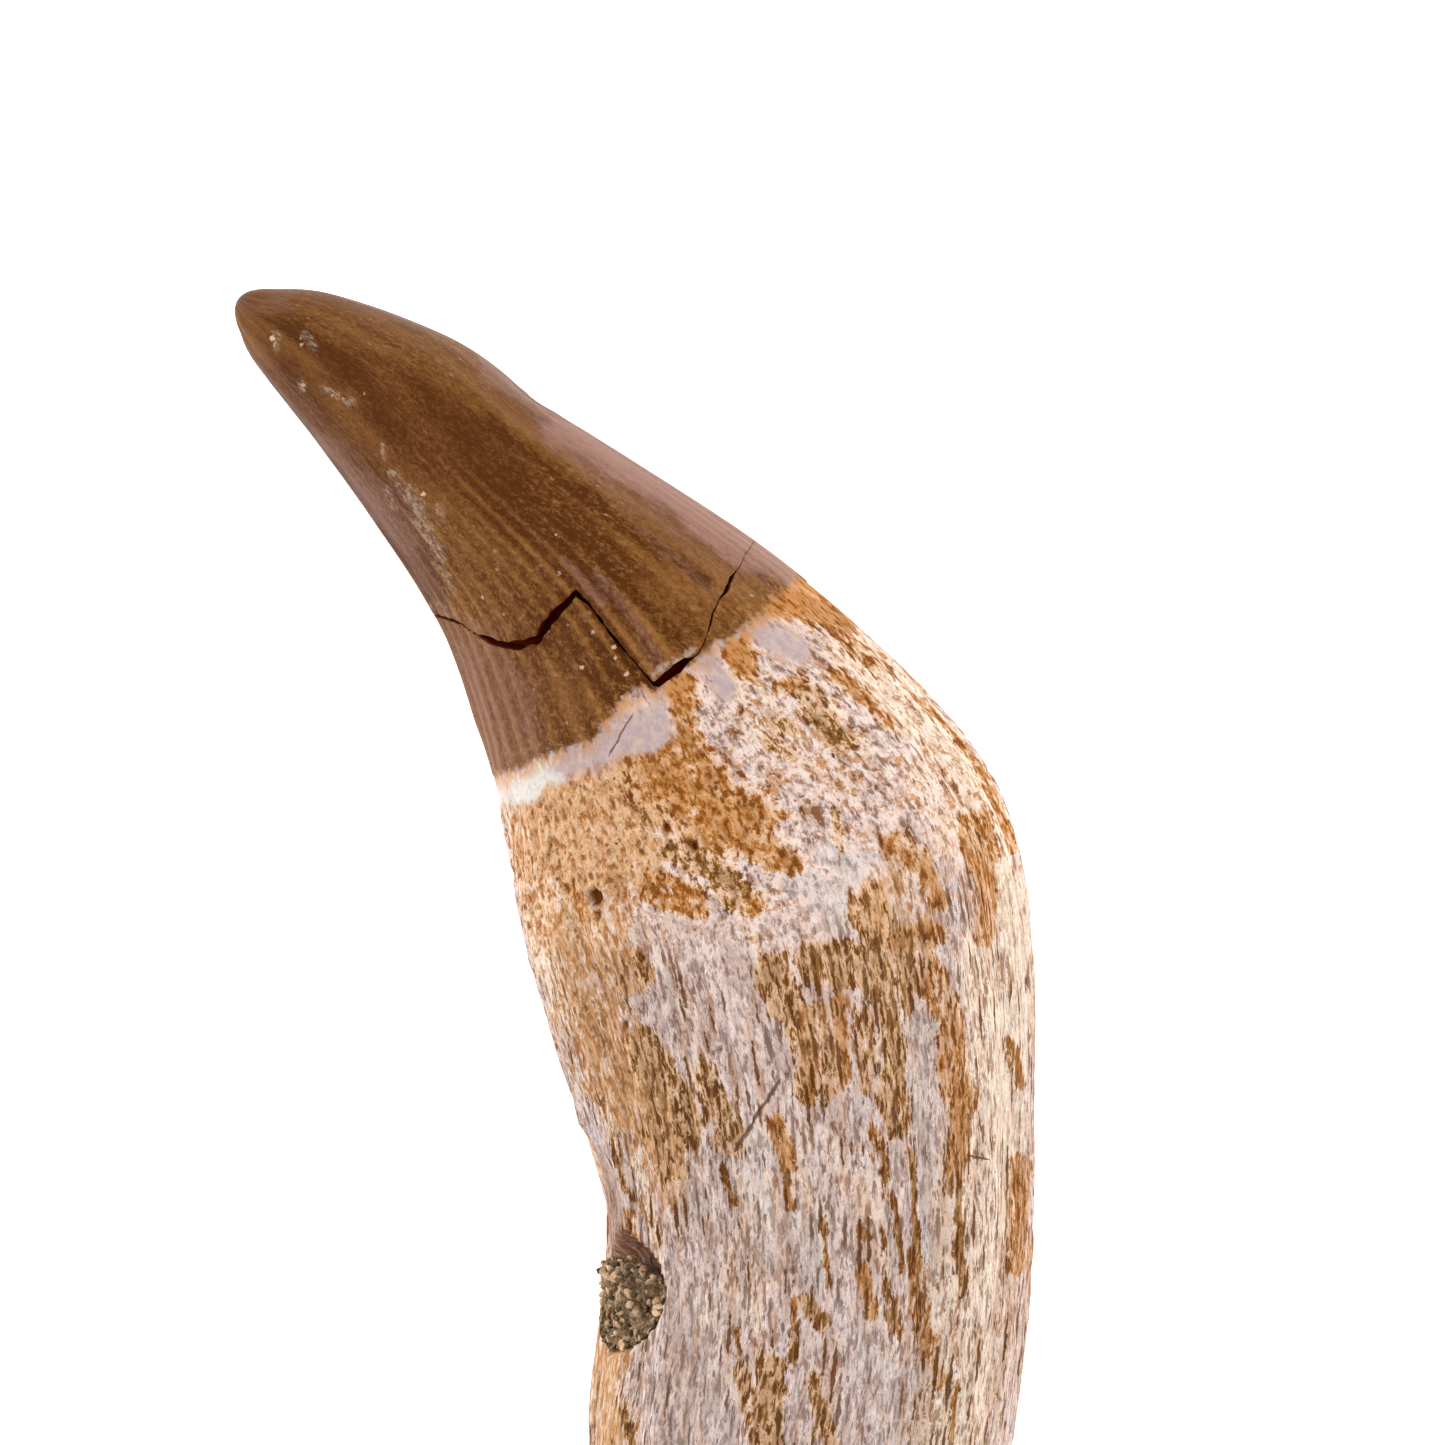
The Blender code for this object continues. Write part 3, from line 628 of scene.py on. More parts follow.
def stroke_value(spots, strayed, strokes):
    """How strongly strokes mark points: 1 inside a full stroke, fading out past its reach.

    Wide strokes are measured from strayed points, which gives them uneven edges, and narrow ones keep
    their line.
    """
    value = np.zeros(len(spots))
    for x, y, to_x, to_y, reach, strength in strokes:
        start, line = np.array((x, y)), np.array((to_x - x, to_y - y))
        points = spots + min(reach, 1.0) * (strayed - spots)
        share = np.clip(((points - start) @ line) / (line @ line), 0.0, 1.0)
        distance = np.linalg.norm(points - start - share[:, None] * line, axis=1)
        value = np.maximum(value, strength * (1.0 - smooth_step(0.35, 1.65, distance / reach)))
    return value


def flank_depth(place, angle, ball, sharpness):
    """How deep a hollow in the flank is: an oval bowl bent to the tooth."""
    out, around, along = ball.radii
    across = np.radians(angle_between(angle, ball.angle)) * FLANK_RADIUS / around
    length = (place - ball.place) * FLANK_STATION / along
    return out * np.clip(1.0 - across**2 - length**2, 0.0, 1.0) ** sharpness


class ToothFields:
    """Everything about a set of surface points that the relief and the colours share."""

    def __init__(self, place, angle):
        self.place, self.angle = place, angle
        self.grown = straightened(place, angle)
        self.points = surface_points(place, angle)
        self.seen = as_seen(self.points - MIDDLE)
        self.edge = length_at(enamel_edge(angle)) - length_at(place) + 0.09 * self.noise("enamel edge")
        steepness = np.sin(np.radians(angle))
        self.upper = smooth_step(-0.3, 0.1, steepness + 0.25 * self.noise("lower limit"))
        self.pit = flank_depth(place, angle, PIT, 0.5)
        self.channel = flank_depth(place, angle, CHANNEL, 0.9)
        self.hole = self.holes()
        self.marks = self.marked(steepness)
        self.porous = self.porosity()
        self.bare = smooth_step(0.2, 2.4, -self.edge) * (1.0 - np.clip(self.marks["smooth"], 0.0, 1.0))

    def noise(self, name, points=None):
        per_mm, seed = RELIEF_NOISE[name]
        return smooth_noise((self.grown if points is None else points) * per_mm, seed)

    def wandering(self, per_mm, reach, seed):
        """Uneven sideways shifts in millimetres, which keep the marks from having straight edges."""
        return reach * np.column_stack([smooth_noise(self.grown * per_mm, seed + turn) for turn in (0, 1)])

    def marked(self, steepness):
        """How strongly each kind of mark shows: strokes on the upper side, and wide noise underneath."""
        spots = self.seen + smooth_step(0.4, -0.1, steepness)[:, None] * self.wandering(0.4, 1.1, 65)
        strayed = spots + self.wandering(0.5, 0.6, 61) + self.wandering(1.5, 0.3, 63)
        marks = {kind: self.upper * stroke_value(spots, strayed, rows) for kind, rows in STROKES.items()}
        for number, (kind, (share, size)) in enumerate(UNDERSIDE.items()):
            wide = smooth_noise(self.grown / (size, size, 2.0 * size), 20 + number)
            marks[kind] += (1.0 - self.upper) * smooth_step(0.9 - 1.8 * share, 1.5 - 1.8 * share, wide)
        return marks

    def holes(self):
        """Depth of the small holes, which are round on the surface itself."""
        depth = np.zeros(len(self.place))
        centres = surface_points(*places_from_above([(hole.x, hole.y) for hole in HOLES]))
        for hole, centre in zip(HOLES, centres):
            distance = np.linalg.norm(self.points - centre, axis=1)
            depth = np.maximum(depth, hole.depth * (1.0 - smooth_step(0.5, 1.3, distance / hole.radius)))
        return depth

    def porosity(self):
        """Net-like pores below the crown and on the shoulder, which give way to long fibres further down."""
        shoulder = 4.0 * np.cos(np.radians(self.angle))
        return 1.0 - smooth_step(10.0, 17.0, -self.edge + 3.0 * self.noise("porosity") - shoulder)

    def grooves(self):
        """0 to 1 where the bone is grooved or pitted, for the relief and for the darkening in it, partly
        grime and partly painted shade.
        """
        bent = self.grown + 0.25 * self.noise("bend")[:, None]
        fibre = smooth_step(-0.12, -0.55, self.noise("fibre", bent))
        fine = smooth_step(-0.15, -0.6, self.noise("fine fibre", bent))
        pore = smooth_step(-0.2, -0.6, self.noise("pore", bent))
        fibres = np.maximum(fibre, 0.7 * fine)
        return self.bare * (fibres * (1.0 - self.porous) + pore * self.porous)

    def flutes(self, count):
        """-1 between the flutes and 1 on their narrow crests, fainter at the tip and where they are worn."""
        wobble = 2.4 * self.noise("flute wobble")
        crest = (0.5 + 0.5 * np.cos(np.radians(count * self.angle) + wobble)) ** 1.7
        uneven = 0.55 + 0.45 * self.noise("flute strength")
        side = 0.22 + 0.78 * bell(angle_between(self.angle, 114.0), 32.0)
        return (2.0 * crest - 1.0) * uneven * side * smooth_step(2.2, 4.6, self.place)

    def ridge(self, ridge):
        return ridge.height * bell(angle_between(self.angle, ridge.angle), ridge.spread)

    def crown_relief(self, shape):
        """Flutes, facet ridges, the chip in the carina, and the step down behind the crack."""
        strength = smooth_step(0.8, 4.0, self.place) * smooth_step(-0.2, 3.0, self.edge)
        crown = shape.flute_depth / MM * self.flutes(shape.flutes)
        crown += strength * sum(self.ridge(ridge) for ridge in CROWN_RIDGES)
        chip = bell(self.place - CHIP_PLACE, CHIP_REACH) * bell(angle_between(self.angle, 4.0), 16.0)
        crown += shape.ledge_height / MM - CHIP_DEPTH * chip * (1.0 + 0.5 * self.noise("chip"))
        return crown + 0.03 * self.noise("crown") - CRACK_STEP_DOWN * self.below_crack()

    def root_relief(self, shape):
        """Furrows, the flank's ridge, swellings, and what is sunk: fibres, pores and small holes."""
        furrows = sum(
            depth * np.cos(np.radians(count * self.angle) + phase + 0.35 * np.sin(self.place * 1.3 + phase))
            for count, depth, phase in FURROWS
        )
        root = furrows * smooth_step(0.0, 1.6, self.place - enamel_edge(self.angle))
        root += smooth_step(10.1, 10.9, self.place) * self.ridge(FLANK_RIDGE)
        root += self.bare * (0.1 * self.noise("broad swelling") + 0.05 * self.noise("fine swelling"))
        depth = (shape.fibre_depth * (1.0 - self.porous) + shape.pore_depth * self.porous) / MM
        return root - depth * self.grooves() - self.hole

    def relief(self, shape):
        """How far the real surface stands out of the plain oval, in millimetres."""
        on_crown = smooth_step(-0.1, 0.1, self.edge)
        hollow = np.maximum(self.pit, self.channel)
        return on_crown * self.crown_relief(shape) + (1.0 - on_crown) * self.root_relief(shape) - hollow

    def below_crack(self):
        """1 just rootward of the crack on the upper side's left, where that piece has sunk, and 0 beyond."""
        crack_place, crack_angle = places_from_above([row[:2] for row in CRACK_ABOVE])
        order = np.argsort(crack_angle)
        crack = np.interp(self.angle, crack_angle[order], crack_place[order])
        behind = length_at(self.place) - length_at(crack)
        left = smooth_step(72.0, 84.0, self.angle) * smooth_step(185.0, 150.0, self.angle)
        return left * smooth_step(-0.05, 0.05, behind) * smooth_step(4.5, 0.5, behind)


def cap_rows(profile, count):
    """A cap's rings from its rim to its middle, evenly spaced along the profile: both of its columns."""
    steps = np.array(profile)
    chord = summed_lengths(steps)
    at = np.linspace(0.0, chord[-1], count + 2)[1:-1]
    return np.interp(at, chord, steps[:, 0]), np.interp(at, chord, steps[:, 1])


def crossed(rows, angles):
    """Every row's value with every angle, as two columns of points."""
    return (grid.ravel() for grid in np.meshgrid(rows, angles, indexing="ij"))


def main_grid(angles):
    """Places and angles of the rings between the two caps, bent to follow the enamel's edge."""
    even = np.interp(np.linspace(0.0, LENGTHS[-1], RINGS), LENGTHS, LENGTH_PLACES)
    apart = even[np.abs(even - CROWN_BASE) > max(EDGE_RINGS) + 0.01]
    ring, angle = crossed(np.sort(np.concatenate([apart, CROWN_BASE + np.array(EDGE_RINGS)])), angles)
    return ring + (enamel_edge(angle) - CROWN_BASE) * bell(ring - CROWN_BASE, 1.3), angle


def tip_forward():
    """The way that the tip points, seen from above."""
    return -towards_root(sections_at([0.0]))[0]


def tip_cap(angles, shape):
    """The rounded tip, from the ring next to its point to its rim."""
    heights, shares = cap_rows(TIP_PROFILE, TIP_RINGS)
    share, angle = crossed(shares[::-1], angles)
    height = TIP_HEIGHT * np.repeat(heights[::-1], len(angles))
    place = np.zeros(len(angle))
    points = surface_points(place, angle, ToothFields(place, angle).relief(shape) * share, share)
    points[:, :2] += tip_forward() * height[:, None]
    return points, place, angle, -1.5 * (1.0 - share) - height


def end_cap(angles, shape):
    """The broken end of the root, which sinks to the middle as the hollow of the pulp."""
    shares, drops = cap_rows(END_PROFILE, END_RINGS)
    share, angle = crossed(shares, angles)
    place = np.full(len(angle), ROOT_END)
    points = surface_points(place, angle, ToothFields(place, angle).relief(shape) * share, share)
    uneven = sum(height * smooth_noise(points * per_mm, seed) for height, per_mm, seed in END_NOISE)
    drop = np.repeat(drops, len(angles)) + END_ROUGHNESS * uneven * smooth_step(1.0, 0.9, share)
    points[:, :2] += towards_root(sections_at(place)) * drop[:, None]
    return points, place, angle, LENGTHS[-1] + END_LENGTH * (1.0 - share)


def ring_faces(ring_count, column_count):
    """Quads between neighbouring rings, and a fan at each end to the point before and after them all."""
    first = 1 + column_count * np.arange(ring_count - 1)[:, None]
    column = np.arange(column_count)
    after = (column + 1) % column_count
    beyond = first + column_count
    quads = np.stack([first + column, first + after, beyond + after, beyond + column], -1)
    faces = quads.reshape(-1, 4).tolist()
    last = 1 + column_count * (ring_count - 1)
    faces += [(0, 1 + b, 1 + a) for a, b in zip(column.tolist(), after.tolist())]
    faces += [(last + column_count, last + a, last + b) for a, b in zip(column.tolist(), after.tolist())]
    return faces


def store(mesh, name, values):
    """Keeps values as an attribute of the mesh's vertices, which materials and nodes read by name."""
    kind, key = ("FLOAT_VECTOR", "vector") if values.ndim == 2 else ("FLOAT", "value")
    attribute = mesh.attributes.get(name) or mesh.attributes.new(name, kind, "POINT")
    attribute.data.foreach_set(key, values.astype(np.float32).ravel())


def read(mesh, name):
    values = np.zeros(len(mesh.vertices), np.float32)
    mesh.attributes[name].data.foreach_get("value", values)
    return values.astype(float)


def positions(mesh):
    points = np.zeros(len(mesh.vertices) * 3, np.float32)
    mesh.vertices.foreach_get("co", points)
    return points.reshape(-1, 3).astype(float) / MM + MIDDLE


def add_object(name, mesh):
    obj = bpy.data.objects.new(name, mesh)
    bpy.context.scene.collection.objects.link(obj)
    return obj


def mesh_from(name, points, faces):
    mesh = bpy.data.meshes.new(name)
    mesh.from_pydata(((points - MIDDLE) * MM).tolist(), [], faces)
    return mesh


def mesh_of(name, shell):
    """A new mesh with what the bmesh holds, which is used up."""
    mesh = bpy.data.meshes.new(name)
    shell.to_mesh(mesh)
    shell.free()
    return mesh


def evaluated_mesh(obj):
    return bpy.data.meshes.new_from_object(obj.evaluated_get(bpy.context.evaluated_depsgraph_get()))


def lofted_tooth(shape):
    """The whole tooth without its crack, with each vertex's place, angle and length along stored on it."""
    angles = column_angles()
    place, angle = main_grid(angles)
    points = surface_points(place, angle, ToothFields(place, angle).relief(shape))
    parts = [tip_cap(angles, shape), (points, place, angle, length_at(place)), end_cap(angles, shape)]
    points, place, angle, along = (np.concatenate(rows) for rows in zip(*parts))
    tip, end = sections_at([0.0]), sections_at([ROOT_END])
    tip_point = np.append(tip.centre[0] + tip_forward() * TIP_HEIGHT, tip.middle[0])
    end_point = np.append(end.centre[0] + towards_root(end)[0] * END_PROFILE[-1][1], end.middle[0])
    points = np.vstack([tip_point, points, end_point])
    points[:, 2] = np.maximum(points[:, 2], 0.0)
    mesh = mesh_from("tooth_surface", points, ring_faces(len(place) // len(angles), len(angles)))
    rows = {
        "place": (0.0, place, ROOT_END),
        "angle": (0.0, angle, 0.0),
        "along": (-TIP_LENGTH, along, LENGTHS[-1] + END_LENGTH),
    }
    for name, (first, values, last) in rows.items():
        store(mesh, name, np.concatenate([[first], values, [last]]))
    return mesh


def crack_path():
    """Places, angles and widths along the crack, all round the tooth in small, slightly uneven steps."""
    place, angle = places_from_above([row[:2] for row in CRACK_ABOVE])
    rows = [(p, a, width) for p, a, (_, _, width) in zip(place, angle, CRACK_ABOVE)]
    rows += [(p, a, CRACK_BELOW_WIDTH) for a, p in CRACK_BELOW]
    rows.append((rows[0][0], rows[0][1] - 360.0, rows[0][2]))
    rows = np.array(rows)
    length = summed_lengths(surface_points(rows[:, 0], rows[:, 1]))
    at = np.arange(0.0, length[-1] - CRACK_SPACING, CRACK_SPACING)
    place, angle, width = (np.interp(at, length, column) for column in rows.T)
    line = np.column_stack([at, np.zeros((len(at), 2))])
    wander = smooth_noise(line * 1.1, 41) + 0.5 * smooth_noise(line * 2.9, 42)
    width *= 1.0 + 0.3 * smooth_noise(line * 3.1, 43)
    return place + CRACK_WANDER / FLANK_STATION * wander, angle, width


def crack_cutter():
    """A closed ribbon, narrower at its bottom, which runs round the tooth along the crack."""
    place, angle, width = crack_path()
    base = surface_points(place, angle)
    out = surface_points(place, angle, 1.0) - base
    side = np.cross(np.roll(base, -1, axis=0) - np.roll(base, 1, axis=0), out)
    side *= (0.5 * width / np.linalg.norm(side, axis=1))[:, None]
    upper, lower = base + out * CRACK_ABOVE_SKIN, base - out * CRACK_DEPTH
    mouth, floor = side * CRACK_MOUTH, side * CRACK_FLOOR
    points = np.stack((upper - mouth, lower - floor, lower + floor, upper + mouth), 1).reshape(-1, 3)
    faces = []
    for section in range(len(place)):
        here, there = 4 * section, 4 * ((section + 1) % len(place))
        faces += [(here + a, here + b, there + b, there + a) for a, b in ((0, 1), (1, 2), (2, 3), (3, 0))]
    shell = bmesh.new()
    shell.from_mesh(mesh_from("crack_ribbon", points, faces))
    bmesh.ops.recalc_face_normals(shell, faces=shell.faces)
    return add_object("crack_cutter", mesh_of("crack_cutter", shell))


def spot_numbers(mesh):
    """A number for each vertex, which stands for its place to a ten thousandth of a millimetre."""
    return np.round(positions(mesh) * 1e4).astype(np.int64) @ np.array((1, 10**6, 10**12))


def with_crack(mesh):
    """The mesh with the crack cut out of it. "known" is 1 on the vertices that it had before."""
    before = spot_numbers(mesh)
    tooth, cutter = add_object("uncut_tooth", mesh), crack_cutter()
    crack = tooth.modifiers.new("Crack", "BOOLEAN")
    crack.operation = "DIFFERENCE"
    crack.solver = "EXACT"
    crack.object = cutter
    cracked = evaluated_mesh(tooth)
    for helper in (tooth, cutter):
        bpy.data.objects.remove(helper)
    store(cracked, "known", np.isin(spot_numbers(cracked), before).astype(float))
    return cracked


def fill_in(mesh, shape):
    """Finds place and angle of the vertices that the cut made, and keeps how deep in the crack each lies."""
    place, angle, along = (read(mesh, name) for name in ("place", "angle", "along"))
    new = read(mesh, "known") < 0.5
    place[new], angle[new], depth = places_of(positions(mesh)[new])
    along[new] = length_at(place[new])
    inside = np.zeros(len(place))
    inside[new] = smooth_step(0.0, 0.16, depth + ToothFields(place[new], angle[new]).relief(shape))
    store(mesh, "inside", inside)
    return place, angle, along


def store_fields(mesh, place, angle, shape):
    """Writes what the material reads: the straightened coordinate, the enamel's edge, relief and marks."""
    fields = ToothFields(place, angle)
    recess = np.minimum(0.5 * fields.pit + 0.6 * fields.channel, 0.75)
    values = {
        "grown": fields.grown,
        "seen": np.column_stack([fields.seen * fields.upper[:, None], np.zeros(len(place))]),
        "edge": fields.edge,
        "porous": fields.porous,
        "bare": fields.bare,
        "groove": fields.grooves(),
        "flute": fields.flutes(shape.flutes),
        "pit": np.clip(np.maximum(recess, fields.hole / 0.25), 0.0, 1.0),
        **fields.marks,
    }
    for name, value in values.items():
        store(mesh, name, value)


def lay_out(mesh, angle, along):
    """The OFBake map: once round the tooth, with the seam underneath, and its length upwards."""
    corner_vertex = np.zeros(len(mesh.loops), np.int32)
    mesh.loops.foreach_get("vertex_index", corner_vertex)
    starts, totals = (np.zeros(len(mesh.polygons), np.int32) for _ in range(2))
    mesh.polygons.foreach_get("loop_start", starts)
    mesh.polygons.foreach_get("loop_total", totals)
    face = np.repeat(np.arange(len(starts)), totals)
    turn = ((angle + 90.0) % 360.0 / 360.0)[corner_vertex]
    highest = np.maximum.reduceat(turn, starts)[face]
    turn = np.where(highest - turn > 0.5, turn + 1.0, turn)
    pole = (corner_vertex == 0) | (corner_vertex == len(angle) - 1)
    beside = np.where(pole, 0.0, turn)
    counted = np.maximum(totals - np.add.reduceat(pole.astype(float), starts), 1.0)
    turn = np.where(pole, (np.add.reduceat(beside, starts) / counted)[face], turn)
    height = (along - along.min()) / (along.max() - along.min())
    flat = np.column_stack([turn, height[corner_vertex]])
    layer = mesh.uv_layers.new(name="OFBake")
    layer.data.foreach_set("uv", (0.003 + 0.994 * flat).astype(np.float32).ravel())


def build_tooth(shape):
    """The finished tooth mesh, with everything stored on it that its material reads."""
    mesh = with_crack(lofted_tooth(shape))
    place, angle, along = fill_in(mesh, shape)
    store_fields(mesh, place, angle, shape)
    lay_out(mesh, angle, along)
    for name in ("place", "angle", "along", "known"):
        mesh.attributes.remove(mesh.attributes[name])
    mesh.shade_smooth()
    mesh.set_sharp_from_angle(angle=math.radians(65.0))
    mesh.name = "fossil_tooth"
    return mesh


class Value:
    """What a node gives. Numbers of this kind can be added, subtracted and multiplied like any others."""

    def __init__(self, graph, socket):
        self.graph, self.socket = graph, socket

    def __add__(self, other):
        return self.graph.math("ADD", self, other)

    def __sub__(self, other):
        return self.graph.math("SUBTRACT", self, other)

    def __mul__(self, other):
        return self.graph.math("MULTIPLY", self, other)

    def __radd__(self, other):
        return self.graph.math("ADD", other, self)

    def __rsub__(self, other):
        return self.graph.math("SUBTRACT", other, self)


class Graph:
    """A node tree with short ways to add its nodes, so that a material reads as a list of steps."""

    def __init__(self, tree):
        self.tree = tree
        tree.nodes.clear()

    def add(self, kind, inputs=None, **settings):
        """Adds a node, and gives its outputs by number and by name, as values."""
        node = self.tree.nodes.new(kind)
        for name, value in settings.items():
            setattr(node, name, value)
        for key, value in (inputs or {}).items():
            self.feed(node.inputs[key], value)
        values = {}
        for number, socket in enumerate(node.outputs):
            values[number] = Value(self, socket)
            values.setdefault(socket.name, values[number])
        return values

    def feed(self, socket, value):
        if isinstance(value, Value):
            self.tree.links.new(value.socket, socket)
        elif socket.type == "RGBA":
            socket.default_value = (*tuple(value)[:3], 1.0)
        else:
            socket.default_value = value

    def math(self, operation, *values, clamp=False):
        inputs = dict(enumerate(values))
        return self.add("ShaderNodeMath", inputs, operation=operation, use_clamp=clamp)[0]

    def most(self, first, *others):
        """The highest of these numbers."""
        for other in others:
            first = self.math("MAXIMUM", first, other)
        return first

    def rest(self, value):
        """What a share leaves of the whole."""
        return self.math("SUBTRACT", 1.0, value, clamp=True)

    def vector(self, operation, *values):
        output = "Value" if operation in ("LENGTH", "DOT_PRODUCT") else "Vector"
        return self.add("ShaderNodeVectorMath", dict(enumerate(values)), operation=operation)[output]

    def noise(self, vector, grain):
        scale = grain.per_mm
        if isinstance(scale, tuple):
            vector, scale = self.vector("MULTIPLY", vector, scale), 1.0
        inputs = {
            "Vector": vector, "Scale": scale, "Detail": grain.detail, "Roughness": grain.roughness,
            "Distortion": grain.distortion,
        }
        return self.add("ShaderNodeTexNoise", inputs)[0]

    def step(self, value, low, high):
        inputs = {"Value": value, "From Min": low, "From Max": high}
        return self.add("ShaderNodeMapRange", inputs, interpolation_type="SMOOTHSTEP")[0]

    def mix(self, share, first, second):
        return self.add("ShaderNodeMix", {0: share, 6: first, 7: second}, data_type="RGBA")[2]

    def blend(self, share, first, second):
        return self.add("ShaderNodeMix", {0: share, 2: first, 3: second}, data_type="FLOAT")[0]

    def attribute(self, name, output="Fac"):
        return self.add("ShaderNodeAttribute", attribute_name=name)[output]

    def parts(self, colour):
        """The three numbers that a colour stands for."""
        separate = self.add("ShaderNodeSeparateColor", {"Color": colour})
        return [separate[number] for number in range(3)]

    def place(self, effect, inputs):
        return self.add("ShaderNodeGroup", inputs, node_tree=bpy.data.node_groups[effect])

    def specks(self, vector, per_mm, share, size):
        return self.place("Specks", {"Vector": vector, "Per mm": per_mm, "Share": share, "Size": size})

    def patch(self, amount, noise, raggedness, softness):
        inputs = {"Amount": amount, "Noise": noise, "Raggedness": raggedness, "Softness": softness}
        return self.place("Ragged mask", inputs)["Mask"]


def open_group(name, kind, inputs, outputs):
    """A new node group: its graph, its inputs as values, and the sockets that its outputs are fed to."""
    tree = bpy.data.node_groups.new(name, kind)
    for direction, sockets in (("INPUT", inputs), ("OUTPUT", outputs)):
        for label, socket in sockets:
            tree.interface.new_socket(name=label, in_out=direction, socket_type=f"NodeSocket{socket}")
    graph = Graph(tree)
    return graph, graph.add("NodeGroupInput"), tree.nodes.new("NodeGroupOutput").inputs


def make_ragged_mask():
    """Turns a soft amount into a patch with a ragged edge, which follows the noise that is fed in."""
    inputs = (("Amount", "Float"), ("Noise", "Float"), ("Raggedness", "Float"), ("Softness", "Float"))
    graph, given, result = open_group("Ragged mask", "ShaderNodeTree", inputs, (("Mask", "Float"),))
    uneven = (given["Noise"] - 0.5) * given["Raggedness"]
    value = given["Amount"] + graph.step(given["Amount"], 0.0, 0.25) * uneven
    graph.feed(result["Mask"], graph.step(value, 0.5 - given["Softness"], 0.5 + given["Softness"]))


def make_bone_pits():
    """Lens-shaped pits in the bone, each in a cell of its own, with a ring round it that the bone material
    uses mostly for a painted highlight.
    """
    numbers = ((label, "Float") for label in ("Across", "Along", "Share", "Ragged"))
    outputs = (("Pit", "Float"), ("Rim", "Float"))
    graph, given, result = open_group("Bone pits", "ShaderNodeTree", (("Flat", "Vector"), *numbers), outputs)
    scale = graph.add("ShaderNodeCombineXYZ", {"X": given["Across"], "Y": given["Along"]})[0]
    bend = graph.add("ShaderNodeTexNoise", {"Vector": given["Flat"], "Scale": 2.4, "Detail": 2.0})["Color"]
    bent = graph.vector("MULTIPLY_ADD", bend, (0.2, 0.5, 0.0), given["Flat"])
    inputs = {"Vector": graph.vector("MULTIPLY", bent, scale), "Scale": 1.0}
    cells = graph.add("ShaderNodeTexVoronoi", inputs, voronoi_dimensions="2D")
    present_chance, size_chance, depth_chance = graph.parts(cells["Color"])
    present = graph.math("LESS_THAN", present_chance, given["Share"])
    radius = size_chance * 0.18 + 0.12
    distance = cells["Distance"] + (given["Ragged"] - 0.5) * 0.4
    depth = present * (depth_chance * 0.5 + 0.5)
    inner = graph.step(distance, radius, radius * 0.3)
    outer = graph.step(distance, radius * 2.3, radius * 1.3)
    graph.feed(result["Pit"], inner * depth)
    graph.feed(result["Rim"], graph.math("SUBTRACT", outer, inner, clamp=True) * depth)


def make_specks():
    """Scattered small specks: each cell has one or none."""
    inputs = (("Vector", "Vector"), ("Per mm", "Float"), ("Share", "Float"), ("Size", "Float"))
    outputs = (("Mask", "Float"), ("Tone", "Float"))
    graph, given, result = open_group("Specks", "ShaderNodeTree", inputs, outputs)
    cells = graph.add("ShaderNodeTexVoronoi", {"Vector": given["Vector"], "Scale": given["Per mm"]})
    chance, tone, _ = graph.parts(cells["Color"])
    present = graph.math("LESS_THAN", chance, given["Share"])
    ragged = graph.noise(given["Vector"], SPECK_GRAIN) * 0.35
    distance = cells["Distance"] + (ragged - 0.17)
    dot = 1.0 - graph.math("DIVIDE", distance, given["Size"], clamp=True)
    graph.feed(result["Mask"], graph.step(dot, 0.05, 0.4) * present)
    graph.feed(result["Tone"], tone)


def make_hairline():
    """A thin, slightly wandering line from a point to a point of the upper side, seen from above."""
    inputs = (("Vector", "Vector"), ("Start", "Vector"), ("End", "Vector"), ("Width", "Float"))
    graph, given, result = open_group("Hairline", "ShaderNodeTree", inputs, (("Mask", "Float"),))
    wander = graph.add("ShaderNodeTexNoise", {"Vector": given["Vector"], "Scale": 1.6})["Color"]
    moved = graph.vector("ADD", given["Vector"], graph.vector("MULTIPLY", wander, (0.3, 0.3, 0.0)))
    flat = graph.vector("MULTIPLY", graph.vector("SUBTRACT", moved, (0.15, 0.15, 0.0)), (1.0, 1.0, 0.0))
    line = graph.vector("SUBTRACT", given["End"], given["Start"])
    reach = graph.vector("SUBTRACT", flat, given["Start"])
    lengths = (graph.vector("DOT_PRODUCT", way, line) for way in (reach, line))
    share = graph.math("DIVIDE", *lengths, clamp=True)
    along = graph.add("ShaderNodeVectorMath", {0: line, "Scale": share}, operation="SCALE")[0]
    distance = graph.vector("LENGTH", graph.vector("SUBTRACT", reach, along))
    taper = given["Width"] * graph.step(graph.math("PINGPONG", share, 0.5), -0.12, 0.2)
    graph.feed(result["Mask"], graph.step(distance, taper, taper * 0.35))


def new_material(name):
    material = bpy.data.materials.new(name)
    material.use_nodes = True
    return material, Graph(material.node_tree)


def finish_material(graph, colour, roughness, height=None, bump=0.0, **constants):
    """Puts the shader itself into a material. bump is the height of the relief in metres."""
    inputs = {"Base Color": colour, "Roughness": roughness, **constants}
    if height is not None:
        raised = graph.add("ShaderNodeBump", {"Height": height, "Strength": 1.0, "Distance": bump})
        inputs["Normal"] = raised[0]
    shader = graph.add("ShaderNodeBsdfPrincipled", inputs)
    graph.add("ShaderNodeOutputMaterial", {"Surface": shader[0]})


